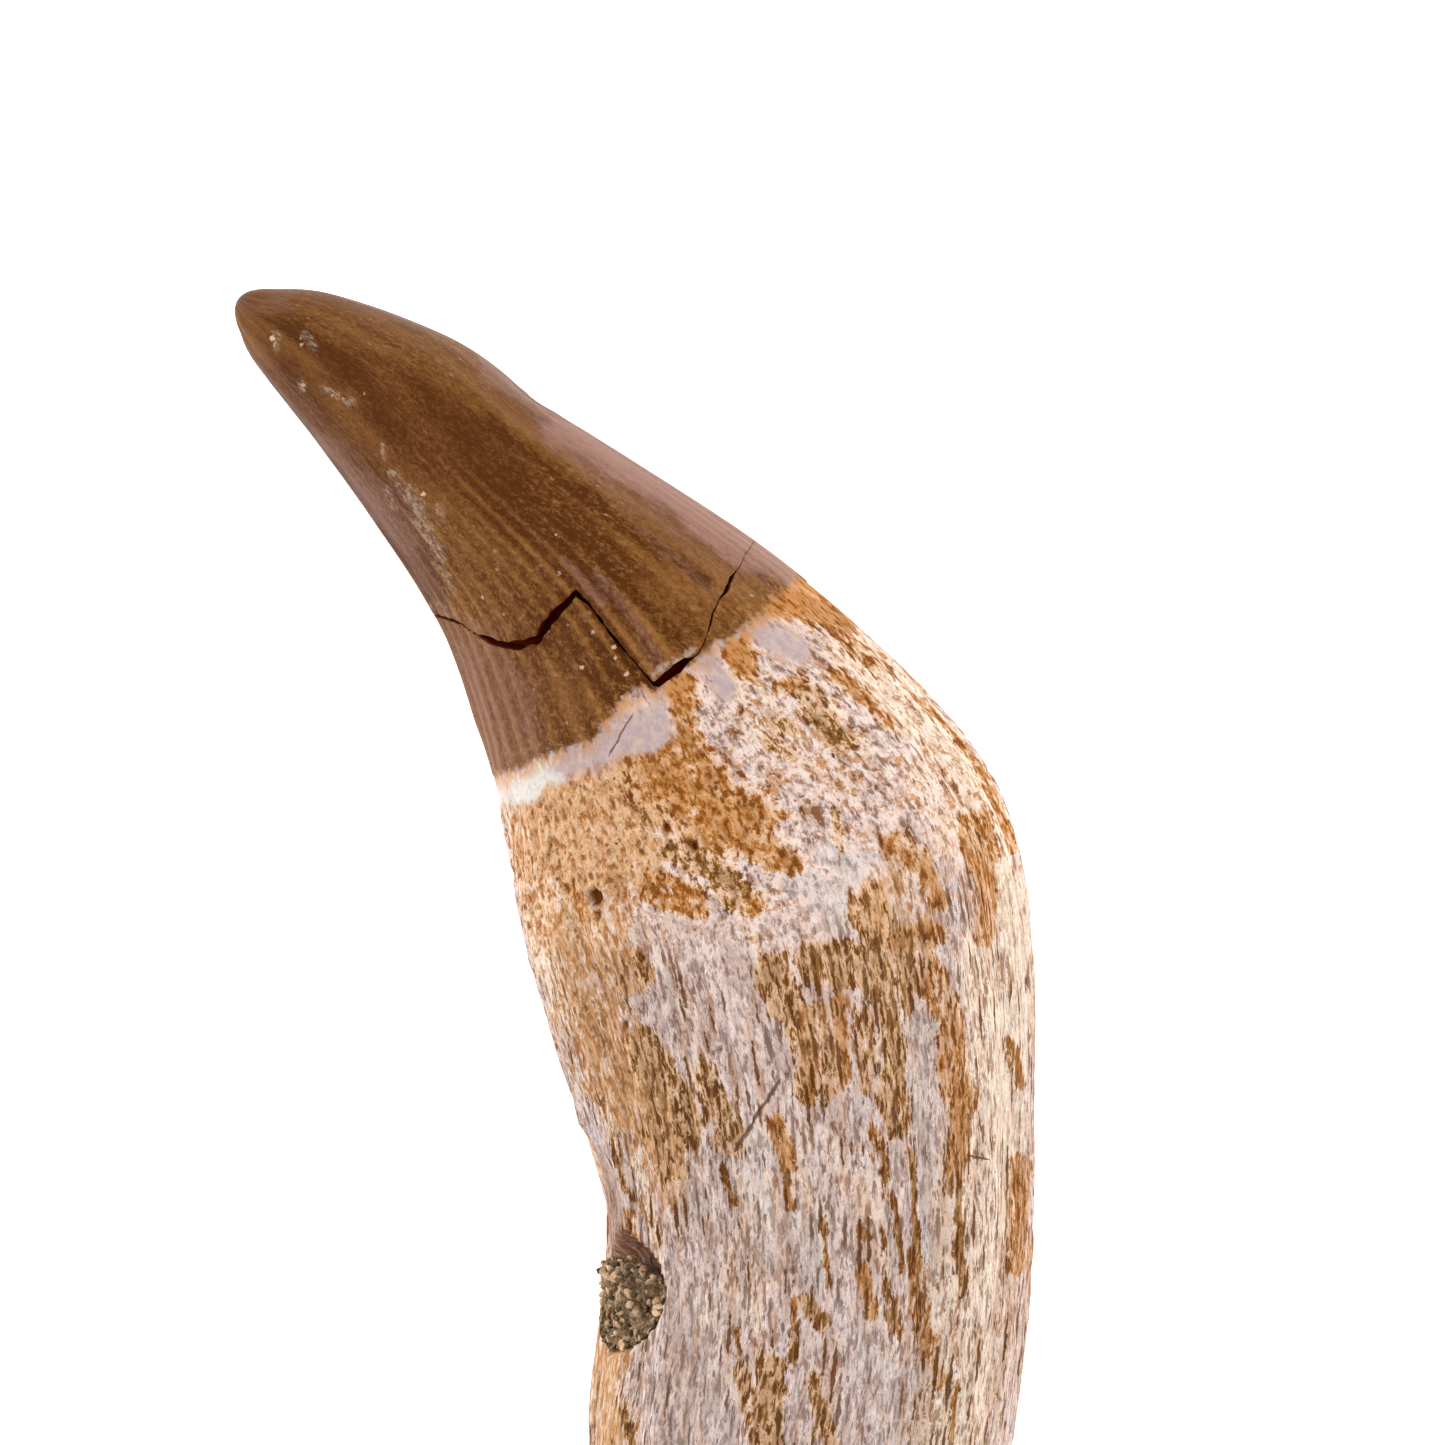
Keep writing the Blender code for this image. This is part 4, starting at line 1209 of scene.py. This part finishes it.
def enamel_steps(graph, look, grown, mark):
    """Colour, roughness and relief of the enamel."""
    noise = {name: graph.noise(grown, grain) for name, grain in ENAMEL_GRAINS.items()}
    streaks, mottle, flute = noise["streaks"], noise["mottle"], graph.attribute("flute")
    # Painted highlight on the flute crests, and painted shade down the crown's middle where the dark strokes
    # lie
    lit = graph.step(flute, -0.5, 0.8) * 0.75 + 0.16 - mark["dark"] * 0.34
    for name, share in (("streaks", 0.4), ("cloud", 0.9), ("mottle", 1.3), ("grit", 0.9)):
        lit += (noise[name] - 0.5) * share
    colour = graph.mix(graph.math("MINIMUM", lit, 1.0, clamp=True), look.dark, look.light)
    # Painted sheen: mauve and pale pink where the mauve strokes lie along the edges and ridges, a little
    # stronger on the flute crests
    sheen_bands = mark["mauve"] + (streaks - 0.5) * 0.8 + (mottle - 0.5) * 1.2 + flute * 0.25
    painted_sheen = graph.mix(graph.step(sheen_bands, 0.6, 1.6), look.mauve, look.painted_sheen)
    colour = graph.mix(graph.step(sheen_bands, 0.25, 1.25) * 0.85, colour, painted_sheen)
    frayed = graph.step(graph.attribute("edge"), 1.3, 0.1)
    speckled = mark["speckle"] * 0.45 + (frayed * 0.5 + 0.08)
    colour = graph.mix(graph.step(mottle, 0.48, 0.72) * speckled, colour, look.gold)
    chalky = graph.specks(grown, per_mm=2.2, share=0.05, size=0.3)["Mask"]
    colour = graph.mix(chalky * speckled, colour, look.chalk)
    dark = graph.specks(grown, per_mm=1.7, share=0.16, size=0.2)["Mask"]
    colour = graph.mix(dark * 0.5, colour, look.dark)
    scuff = graph.patch(mark["scuff"] * 0.4, noise["dust"], 3.6, 0.5)
    colour = graph.mix(scuff * 0.7, colour, look.chalk)
    roughness = (mottle - 0.4) * 0.35 + look.roughness + graph.most(scuff, chalky) * 0.35
    return colour, roughness, streaks * 0.3 + mottle * 0.5


def bone_steps(graph, look, grown, mark):
    """Colour, roughness and relief of the root: stains over pale bone, deepest in its pits and grooves with
    grime and painted shade, and crests made lighter by wear and a painted highlight.
    """
    noise = {name: graph.noise(grown, grain) for name, grain in BONE_GRAINS.items()}
    mottle, grit, streaky = noise["mottle"], noise["grit"], noise["streaky"]
    broad, blotchy = noise["broad"], noise["blotchy"]
    porous, bare = graph.attribute("porous"), graph.attribute("bare")
    hair = graph.blend(porous * 0.8, noise["hair"], mottle)

    # Pits, the grime and painted shade in them and in all that lies low, and the crests between them, lighter
    # from wear and a painted highlight
    clusters = graph.step(noise["clusters"], 0.38, 0.62)
    flat = graph.vector("MULTIPLY", graph.add("ShaderNodeUVMap", uv_map="OFBake")[0], BAKE_SIZE)
    pits = {}
    for name, (across, along, least, most) in BONE_PITS.items():
        share = graph.blend(clusters, least, most)
        inputs = {"Flat": flat, "Across": across, "Along": along, "Share": share, "Ragged": mottle}
        pits[name] = graph.place("Bone pits", inputs)
    fibrous = graph.rest(porous) * bare
    wide = graph.blend(porous, pits["slits"]["Pit"], pits["pores"]["Pit"])
    fine = graph.blend(porous, pits["fine slits"]["Pit"], pits["fine pores"]["Pit"])
    pit = graph.most(wide, fine * 0.8) * bare
    low = graph.most(graph.step(hair, 0.47, 0.4) * 0.9, graph.step(grit, 0.42, 0.32) * 0.4)
    dirt_and_shade = graph.most(pit, graph.attribute("groove") * 0.3 + low)
    dirt_and_shade *= graph.blend(graph.step(mark["cream"], 1.12, 1.35), 1.0, 0.45)
    # Painted highlight: rims round the pits and light bands in the grain, which make the crests paler
    rim = graph.blend(porous, pits["slits"]["Rim"], pits["pores"]["Rim"]) * 0.7
    rim = graph.most(rim, graph.step(streaky, 0.56, 0.64) * 0.8)
    band = graph.step(hair, 0.48, 0.53) - graph.step(hair, 0.55, 0.62) * 0.6
    crest = graph.most(band, rim, graph.step(grit, 0.55, 0.66)) * bare * graph.rest(dirt_and_shade)
    frayed = graph.blend(porous * 0.8, streaky, blotchy) - (graph.blend(porous, hair, mottle) - 0.5)
    frayed += (dirt_and_shade - crest * 0.6) * 0.15

    def patch(amount, raggedness, softness):
        return graph.patch(amount, frayed, raggedness, softness)

    # deep is the colour of grime and painted shade in what lies low; crown is that of the crests, worn and
    # with a painted highlight
    def grained(middle, deep, crown, deep_share, crown_share):
        return graph.mix(dirt_and_shade * deep_share, graph.mix(crest * crown_share, middle, crown), deep)

    # The bone under the stains: lilac, warm peach, and flecks in the pores
    shade = graph.mix(0.7, look.lilac, look.lilac_dark)
    shade = graph.mix(graph.step(broad, 0.38, 0.54), shade, look.lilac_dark)
    shade = graph.mix(porous * 0.6, shade, look.peach_dark)
    warmer = graph.step(mottle, 0.44, 0.58) * graph.blend(porous, 0.4, 0.8)
    warmed = graph.mix(warmer, look.lilac, look.peach)
    clean = grained(warmed, shade, look.lilac_pale, graph.blend(porous, 0.75, 0.9), 0.8)
    # Paler bone where the cream strokes lie, partly a painted highlight along the lit margins
    paler_and_highlit = graph.step(mark["cream"], 0.4, 1.1) * 0.85
    deep = graph.mix(paler_and_highlit * porous, look.peach_dark, look.tan)
    peach = graph.mix(paler_and_highlit, look.peach, look.peach_pale)
    peach = grained(peach, deep, look.peach_pale, 0.8, 0.95)
    warm = graph.most(patch(mark["cream"], 1.4, 0.35), graph.step(broad, 0.54, 0.7))
    flecks = graph.step(blotchy, 0.53, 0.6) * graph.blend(porous, 0.15, 0.85)
    fleck = grained(look.tan, look.olive_dark, look.rust, 1.0, 0.8)
    colour = graph.mix(flecks * bare, graph.mix(warm, clean, peach), fleck)

    # Stains from the palest to the darkest. The crests, lighter from wear and a painted highlight, take up
    # less of the dark ones
    pale = grained(look.pale, look.lilac_dark, look.lilac_pale, 0.6, 0.6)
    colour = graph.mix(patch(mark["pale"], 1.4, 0.3) * 0.8, colour, pale)
    browner = graph.step(mottle, 0.42, 0.58) * 0.4
    tan = graph.mix(browner, look.tan, look.rust)
    tan = grained(tan, look.tan_dark, look.tan_pale, graph.blend(porous, 0.6, 0.9), 0.6)
    browned = mark["tan"] + graph.step(graph.most(mark["rust"], mark["olive"]), 0.0, 0.6) * 0.95
    colour = graph.mix(patch(browned, 2.0, 0.45), colour, tan)
    hold = crest * graph.blend(porous, -0.35, -0.1) + 1.0
    rust = grained(graph.mix(browner, look.rust, look.tan), look.rust_dark, look.rust_pale, 0.95, 0.5)
    colour = graph.mix(patch(mark["rust"], 2.6, 0.35) * hold, colour, rust)
    olive = grained(graph.mix(browner, look.olive, look.rust), look.olive_dark, look.tan_pale, 1.0, 0.7)
    colour = graph.mix(patch(mark["olive"], 2.7, 0.35) * hold, colour, olive)
    core = mark["streak"] + (hair - 0.5) * 1.8
    brown = graph.mix(0.6, look.olive, look.olive_dark)
    streak = graph.mix(graph.step(core, 0.55, 0.95), look.rust, brown)
    streak = grained(streak, look.olive_dark, look.rust_pale, 1.0, 0.7)
    colour = graph.mix(patch(mark["streak"], 1.8, 0.25), colour, streak)

    # The smooth band below the enamel, and the brown fringe along it
    collar = graph.patch(mark["smooth"], blotchy, 2.8, 0.6)
    whiter = mark["pale"] + (blotchy * 4.0 - 2.2)
    milky = graph.mix(0.65, look.lilac, look.mauve)
    milky = graph.mix(graph.step(whiter, -0.3, 1.1), milky, look.collar)
    milky = graph.mix(graph.step(mottle, 0.5, 0.66) * 0.12, milky, look.lilac_pale)
    milky = graph.mix(graph.step(blotchy, 0.54, 0.68) * 0.6, milky, look.tan)
    colour = graph.mix(collar, colour, milky)
    fringe = graph.step(graph.attribute("edge"), -1.3, -0.3) * graph.step(mottle, 0.4, 0.54)
    colour = graph.mix(fringe * 0.85, colour, graph.mix(0.5, look.tan, look.olive))

    # Dark insides: pits, long gaps between the fibres, the pit in the flank and the small holes
    murky = graph.mix(0.5, look.lilac_dark, look.olive_dark)
    colour = graph.mix(pit * graph.blend(porous, 0.65, 0.2), colour, murky)
    colour = graph.mix(pits["gaps"]["Rim"] * (fibrous * 0.35), colour, look.tan)
    calm = graph.step(mark["pale"], 0.7, 0.2) * graph.step(mark["tan"], 1.0, 0.2)
    gap = graph.step(pits["gaps"]["Pit"], 0.15, 0.45) * fibrous * calm
    stained = graph.mix(graph.step(blotchy, 0.45, 0.6), look.olive_dark, look.rust_dark)
    colour = graph.mix(gap * 0.9, colour, stained)
    hollow = graph.attribute("pit")
    lining = graph.mix(graph.step(mottle, 0.4, 0.6), look.rust_dark, look.peach_dark)
    colour = graph.mix(hollow, colour, lining)
    bottom = graph.mix(0.5, look.crack, look.olive_dark)
    colour = graph.mix(graph.step(hollow, 0.76, 1.0) * 0.7, colour, bottom)
    roughness = collar * -0.25 + look.roughness
    height = (graph.step(hair, 0.3, 0.68) - graph.most(pit, gap) * 0.8) * bare
    return colour, roughness, height


def make_tooth_material(enamel, bone):
    """Enamel and bone in one material, parted by the enamel's edge, with the cracks' dark insides on top."""
    material, graph = new_material("Fossil enamel and bone")
    grown = graph.attribute("grown", "Vector")
    mark = {kind: graph.attribute(kind) for kind in STROKES}
    sides = bone_steps(graph, bone, grown, mark), enamel_steps(graph, enamel, grown, mark)
    colours, roughnesses, heights = zip(*sides)
    ragged = (graph.noise(grown, EDGE_GRAIN) - 0.5) * 1.3
    on_crown = graph.step(ragged + graph.attribute("edge"), -0.4, 0.05)
    colour = graph.mix(on_crown, *colours)
    seen = graph.attribute("seen", "Vector")
    for line in HAIRLINES:
        points = {"Start": (*line.start, 0.0), "End": (*line.end, 0.0), "Width": line.width, "Vector": seen}
        hairline = graph.place("Hairline", points)["Mask"] * 0.9
        colour = graph.mix(hairline, colour, graph.mix(0.12, bone.olive_dark, bone.mauve))
    inside = graph.step(graph.attribute("inside"), 0.0, 0.25)
    colour = graph.mix(inside, colour, bone.crack)
    shine = {"Specular IOR Level": (1.0 - inside) * OPEN_SHINE}
    roughness, height = graph.blend(on_crown, *roughnesses), graph.blend(on_crown, *heights)
    finish_material(graph, colour, roughness, height, GRAIN_HEIGHT, **shine)
    return material


def make_sediment_material(name, look):
    """Fine grains in a dark matrix: each grain has its own tone, and all are dusty."""
    material, graph = new_material(name)
    in_mm = graph.vector("MULTIPLY", graph.add("ShaderNodeTexCoord")["Object"], (1.0 / MM,) * 3)
    fine = graph.noise(in_mm, SEDIMENT_GRAIN)
    tone = graph.math("POWER", graph.attribute("tone"), 1.5)
    tone = graph.math("MULTIPLY_ADD", fine - 0.5, 1.4, tone, clamp=True)
    specks = graph.specks(in_mm, per_mm=4.0, share=0.35, size=0.4)
    speck = graph.mix(specks["Tone"], look.dark, look.light)
    colour = graph.mix(specks["Mask"] * 0.6, graph.mix(tone, look.dark, look.light), speck)
    finish_material(graph, colour, 0.9, fine, GRAIN_HEIGHT)
    return material


def make_scatter_tree():
    """Geometry Nodes that scatter lumps over a surface, thickest where an attribute asks for them."""
    inputs = (
        ("Geometry", "Geometry"), ("Per square metre", "Float"), ("Size", "Float"), ("Seed", "Int"),
        ("Keep surface", "Bool"), ("Material", "Material"),
    )
    outputs = (("Geometry", "Geometry"),)
    graph, given, result = open_group("Scattered lumps", "GeometryNodeTree", inputs, outputs)
    surface = given["Geometry"]
    wanted = graph.add("GeometryNodeInputNamedAttribute", {"Name": "lumps"}, data_type="FLOAT")["Attribute"]
    spread = {"Mesh": surface, "Density": given["Per square metre"] * wanted, "Seed": given["Seed"]}
    points = graph.add("GeometryNodeDistributePointsOnFaces", spread)["Points"]

    # One lump with bumps, which is turned and scaled at random
    ball = graph.add("GeometryNodeMeshIcoSphere", {"Radius": 0.5, "Subdivisions": 2})[0]
    position = graph.add("GeometryNodeInputPosition")[0]
    bumps = graph.add("ShaderNodeTexNoise", {"Vector": position, "Scale": 2.5, "Detail": 1.0})["Color"]
    offset = graph.vector("MULTIPLY", graph.vector("SUBTRACT", bumps, (0.5, 0.5, 0.5)), (0.5, 0.5, 0.5))
    lump = graph.add("GeometryNodeSetPosition", {"Geometry": ball, "Offset": offset})[0]

    def chance(kind, inputs):
        return graph.add("FunctionNodeRandomValue", inputs, data_type=kind)

    turn = chance("FLOAT_VECTOR", {"Max": (6.28, 6.28, 6.28), "Seed": 3})[0]
    size = chance("FLOAT_VECTOR", {"Min": (0.25, 0.25, 0.2), "Max": (1.3, 1.1, 0.9), "Seed": 5})[0]
    scale = graph.add("ShaderNodeVectorMath", {0: size, "Scale": given["Size"]}, operation="SCALE")[0]
    copies = {"Points": points, "Instance": lump, "Rotation": turn, "Scale": scale}
    placed = graph.add("GeometryNodeInstanceOnPoints", copies)[0]
    stored = {"Geometry": placed, "Name": "tone", "Value": chance("FLOAT", {"Seed": 9})[1]}
    toned = graph.add("GeometryNodeStoreNamedAttribute", stored, data_type="FLOAT", domain="INSTANCE")[0]
    choice = {"Switch": given["Keep surface"], "True": surface}
    kept = graph.add("GeometryNodeSwitch", choice, input_type="GEOMETRY")[0]
    join = graph.tree.nodes.new("GeometryNodeJoinGeometry")
    graph.feed(join.inputs[0], kept)
    graph.feed(join.inputs[0], toned)
    real = graph.add("GeometryNodeRealizeInstances", {"Geometry": Value(graph, join.outputs[0])})[0]
    coloured = graph.add("GeometryNodeSetMaterial", {"Geometry": real, "Material": given["Material"]})[0]
    graph.feed(result["Geometry"], coloured)


def scatter(base, name, **settings):
    """A plain mesh of the lumps scattered over base, which is used up."""
    lumps = base.modifiers.new("Lumps", "NODES")
    lumps.node_group = bpy.data.node_groups["Scattered lumps"]
    for item in lumps.node_group.interface.items_tree:
        if item.in_out == "INPUT" and item.name in settings:
            lumps[item.identifier] = settings[item.name]
    mesh = evaluated_mesh(base)
    bpy.data.objects.remove(base)
    mesh.name = name
    return add_object(name, mesh)


def even_ball(columns, rows):
    """The points of a ball of radius 1, lowest to highest, and its faces, always in the same order."""
    rings = np.linspace(-90.0, 90.0, rows + 1)[1:-1]
    angles = np.linspace(0.0, 360.0, columns, endpoint=False)
    rise, turn = (np.radians(grid) for grid in crossed(rings, angles))
    skin = np.column_stack([np.cos(rise) * np.cos(turn), np.cos(rise) * np.sin(turn), np.sin(rise)])
    return np.vstack([(0.0, 0.0, -1.0), skin, (0.0, 0.0, 1.0)]), ring_faces(len(rings), columns)


def sediment_base():
    """The plug in the pit: the pit's form less a gap, shorter towards the crown, under a low, lumpy dome."""
    spots, faces = even_ball(SEDIMENT_COLUMNS, SEDIMENT_ROWS)
    out, around, along = (spots * (np.array(PIT.radii) - SEDIMENT_GAP)).T
    outer = smooth_step(-0.15, 0.3, spots[:, 0])
    out = np.where(out > 0.0, out * SEDIMENT_DOME, out)
    lumps = 0.5 * smooth_noise(spots * 3.1, 51) + 0.25 * smooth_noise(spots * 7.0, 52)
    out += outer * (lumps - SEDIMENT_SINK)
    along = np.where(along < 0.0, along * SEDIMENT_SHORT, along)
    angle = PIT.angle + np.degrees(around / FLANK_RADIUS)
    points = surface_points(PIT.place + along / FLANK_STATION, angle, out)
    mesh = mesh_from("sediment_base", points, faces)
    mesh.shade_smooth()
    store(mesh, "lumps", outer)
    store(mesh, "tone", 0.2 * np.ones(len(points)))
    return add_object("sediment_base", mesh)


def build_crumbs(shape):
    """The crumbs on the crown, half sunk in its surface."""
    place, angle = places_from_above([row[:2] for row in CRUMBS])
    middles = surface_points(place, angle, ToothFields(place, angle).relief(shape))
    crumbs = bmesh.new()
    for number, ((_, _, size), middle) in enumerate(zip(CRUMBS, middles)):
        made = bmesh.ops.create_icosphere(crumbs, subdivisions=3, radius=0.5)["verts"]
        spots = np.array([vertex.co for vertex in made])
        spots *= (1.0 + 0.75 * smooth_noise(spots * 4.2 + 5.0 * number, 71))[:, None]
        for vertex, spot in zip(made, spots * (size, size, 0.45 * size)):
            vertex.co = Vector((middle + spot - MIDDLE) * MM)
    mesh = mesh_of("crumbs", crumbs)
    mesh.shade_smooth()
    return add_object("crumbs", mesh)


def build_tooth_piece(scene):
    material = make_tooth_material(scene.tooth_enamel, scene.tooth_bone)
    tooth = add_object("fossil_tooth", build_tooth(scene.tooth_shape))
    tooth.data.materials.clear()
    tooth.data.materials.append(material)
    for face in tooth.data.polygons:
        face.material_index = 0
    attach(tooth, BODY)
    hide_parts(TOOTH_NODE)


class FOSSIL_OT_effects(bpy.types.Operator):
    """Makes the node groups that the materials and the scattered lumps share"""

    bl_idname = "fossil.effects"
    bl_label = "Shared Effects"

    def execute(self, context):
        for make in (make_ragged_mask, make_bone_pits, make_specks, make_hairline, make_scatter_tree):
            make()
        return {"FINISHED"}


class FOSSIL_OT_tooth(bpy.types.Operator):
    """Builds the tooth: crown, root, crack and pit as one fine mesh"""

    bl_idname = "fossil.tooth"
    bl_label = "Tooth"

    def execute(self, context):
        build_tooth_piece(context.scene)
        return {"FINISHED"}


class FOSSIL_OT_sediment(bpy.types.Operator):
    """Fills the pit in the flank with grains of sediment"""

    bl_idname = "fossil.sediment"
    bl_label = "Sediment in the Pit"

    def execute(self, context):
        look = context.scene.tooth_sediment
        material = make_sediment_material("Sediment grains", look)
        plug = scatter(sediment_base(), "pit_sediment", **{
            "Per square metre": look.grains / PIT_AREA, "Size": look.grain_size, "Seed": 7,
            "Keep surface": True, "Material": material,
        })
        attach(plug, BODY)
        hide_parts(SEDIMENT_NODE)
        return {"FINISHED"}


class FOSSIL_OT_crumbs(bpy.types.Operator):
    """Sticks crumbs of matrix to the crown"""

    bl_idname = "fossil.crumbs"
    bl_label = "Crumbs on the Crown"

    def execute(self, context):
        crumbs = build_crumbs(context.scene.tooth_shape)
        look = context.scene.tooth_sediment
        material, graph = new_material("Pale crumbs")
        tone = graph.noise(graph.add("ShaderNodeTexCoord")["Object"], CRUMB_GRAIN)
        finish_material(graph, graph.mix(graph.step(tone, 0.35, 0.6), look.dark, look.crumb), 0.9)
        crumbs.data.materials.append(material)
        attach(crumbs, BODY)
        return {"FINISHED"}


class FOSSIL_OT_stage(bpy.types.Operator):
    """Sets the pale floor, the soft lights and the camera that looks down on the tooth"""

    bl_idname = "fossil.stage"
    bl_label = "Floor, Lights and Camera"

    def execute(self, context):
        build_stage(context.scene, context.scene.tooth_stage)
        return {"FINISHED"}


def make_floor(look):
    material, graph = new_material("White floor")
    finish_material(graph, look.floor, 0.9, **{"Emission Color": look.floor, "Emission Strength": look.glow})
    plane = bmesh.new()
    bmesh.ops.create_grid(plane, x_segments=1, y_segments=1, size=FLOOR_REACH)
    bmesh.ops.translate(plane, verts=plane.verts, vec=(0.0, 0.0, -FLOOR_DROP))
    mesh = mesh_of("floor", plane)
    mesh.materials.append(material)
    floor = add_object("floor", mesh)


def add_light(name, place, size, power):
    """A soft square light that faces the tooth."""
    light = bpy.data.lights.new(name, "AREA")
    light.energy, light.size = power, size
    lamp = add_object(name, light)
    lamp.location = place
    lamp.rotation_euler = (-lamp.location).to_track_quat("-Z", "Y").to_euler()


def build_stage(scene, look):
    make_floor(look)
    for name, place, size, power in LIGHTS:
        add_light(name, place, size, getattr(look, power))
    scene.world = scene.world or bpy.data.worlds.new("surroundings")
    scene.world.use_nodes = True
    air = Graph(scene.world.node_tree)
    glow = air.add("ShaderNodeBackground", {"Color": (1.0, 1.0, 1.0), "Strength": look.air})
    air.add("ShaderNodeOutputWorld", {"Surface": glow[0]})
    scene.view_settings.view_transform = "Standard"
    camera = bpy.data.cameras.new("camera")
    camera.sensor_width = 36.0
    camera.lens = camera.sensor_width * look.camera_height / look.view_height
    viewer = add_object("camera", camera)
    viewer.location = Vector(VIEW_CENTRE) * MM + Vector((0.0, 0.0, look.camera_height))
    scene.camera = viewer


class FOSSIL_PT_panel(bpy.types.Panel):
    """Lists the steps that build the finished tooth, and its sizes and colours"""

    bl_idname = "FOSSIL_PT_panel"
    bl_label = "Fossil Tooth"
    bl_space_type = "VIEW_3D"
    bl_region_type = "UI"
    bl_category = "Fossil Tooth"

    def draw(self, context):
        for step in STEPS:
            self.layout.operator(step.bl_idname)
        for name, group in SETTINGS.items():
            box = self.layout.box()
            for key in group.__annotations__:
                box.prop(getattr(context.scene, name), key)


STEPS = (FOSSIL_OT_effects, FOSSIL_OT_tooth, FOSSIL_OT_sediment, FOSSIL_OT_crumbs, FOSSIL_OT_stage)
SETTINGS = {
    "tooth_shape": ToothShape,
    "tooth_enamel": EnamelLook,
    "tooth_bone": BoneLook,
    "tooth_sediment": SedimentLook,
    "tooth_stage": StageLook,
}


def register():
    for group in SETTINGS.values():
        bpy.utils.register_class(group)
    for step in (*STEPS, FOSSIL_PT_panel):
        bpy.utils.register_class(step)
    for name, group in SETTINGS.items():
        setattr(bpy.types.Scene, name, PointerProperty(type=group))


def unregister():
    for name in SETTINGS:
        delattr(bpy.types.Scene, name)
    for step in (*STEPS, FOSSIL_PT_panel, *SETTINGS.values()):
        bpy.utils.unregister_class(step)


def main():
    register()
    for step in STEPS:
        category, name = step.bl_idname.split(".")
        getattr(getattr(bpy.ops, category), name)()


if __name__ == "__main__":
    main()
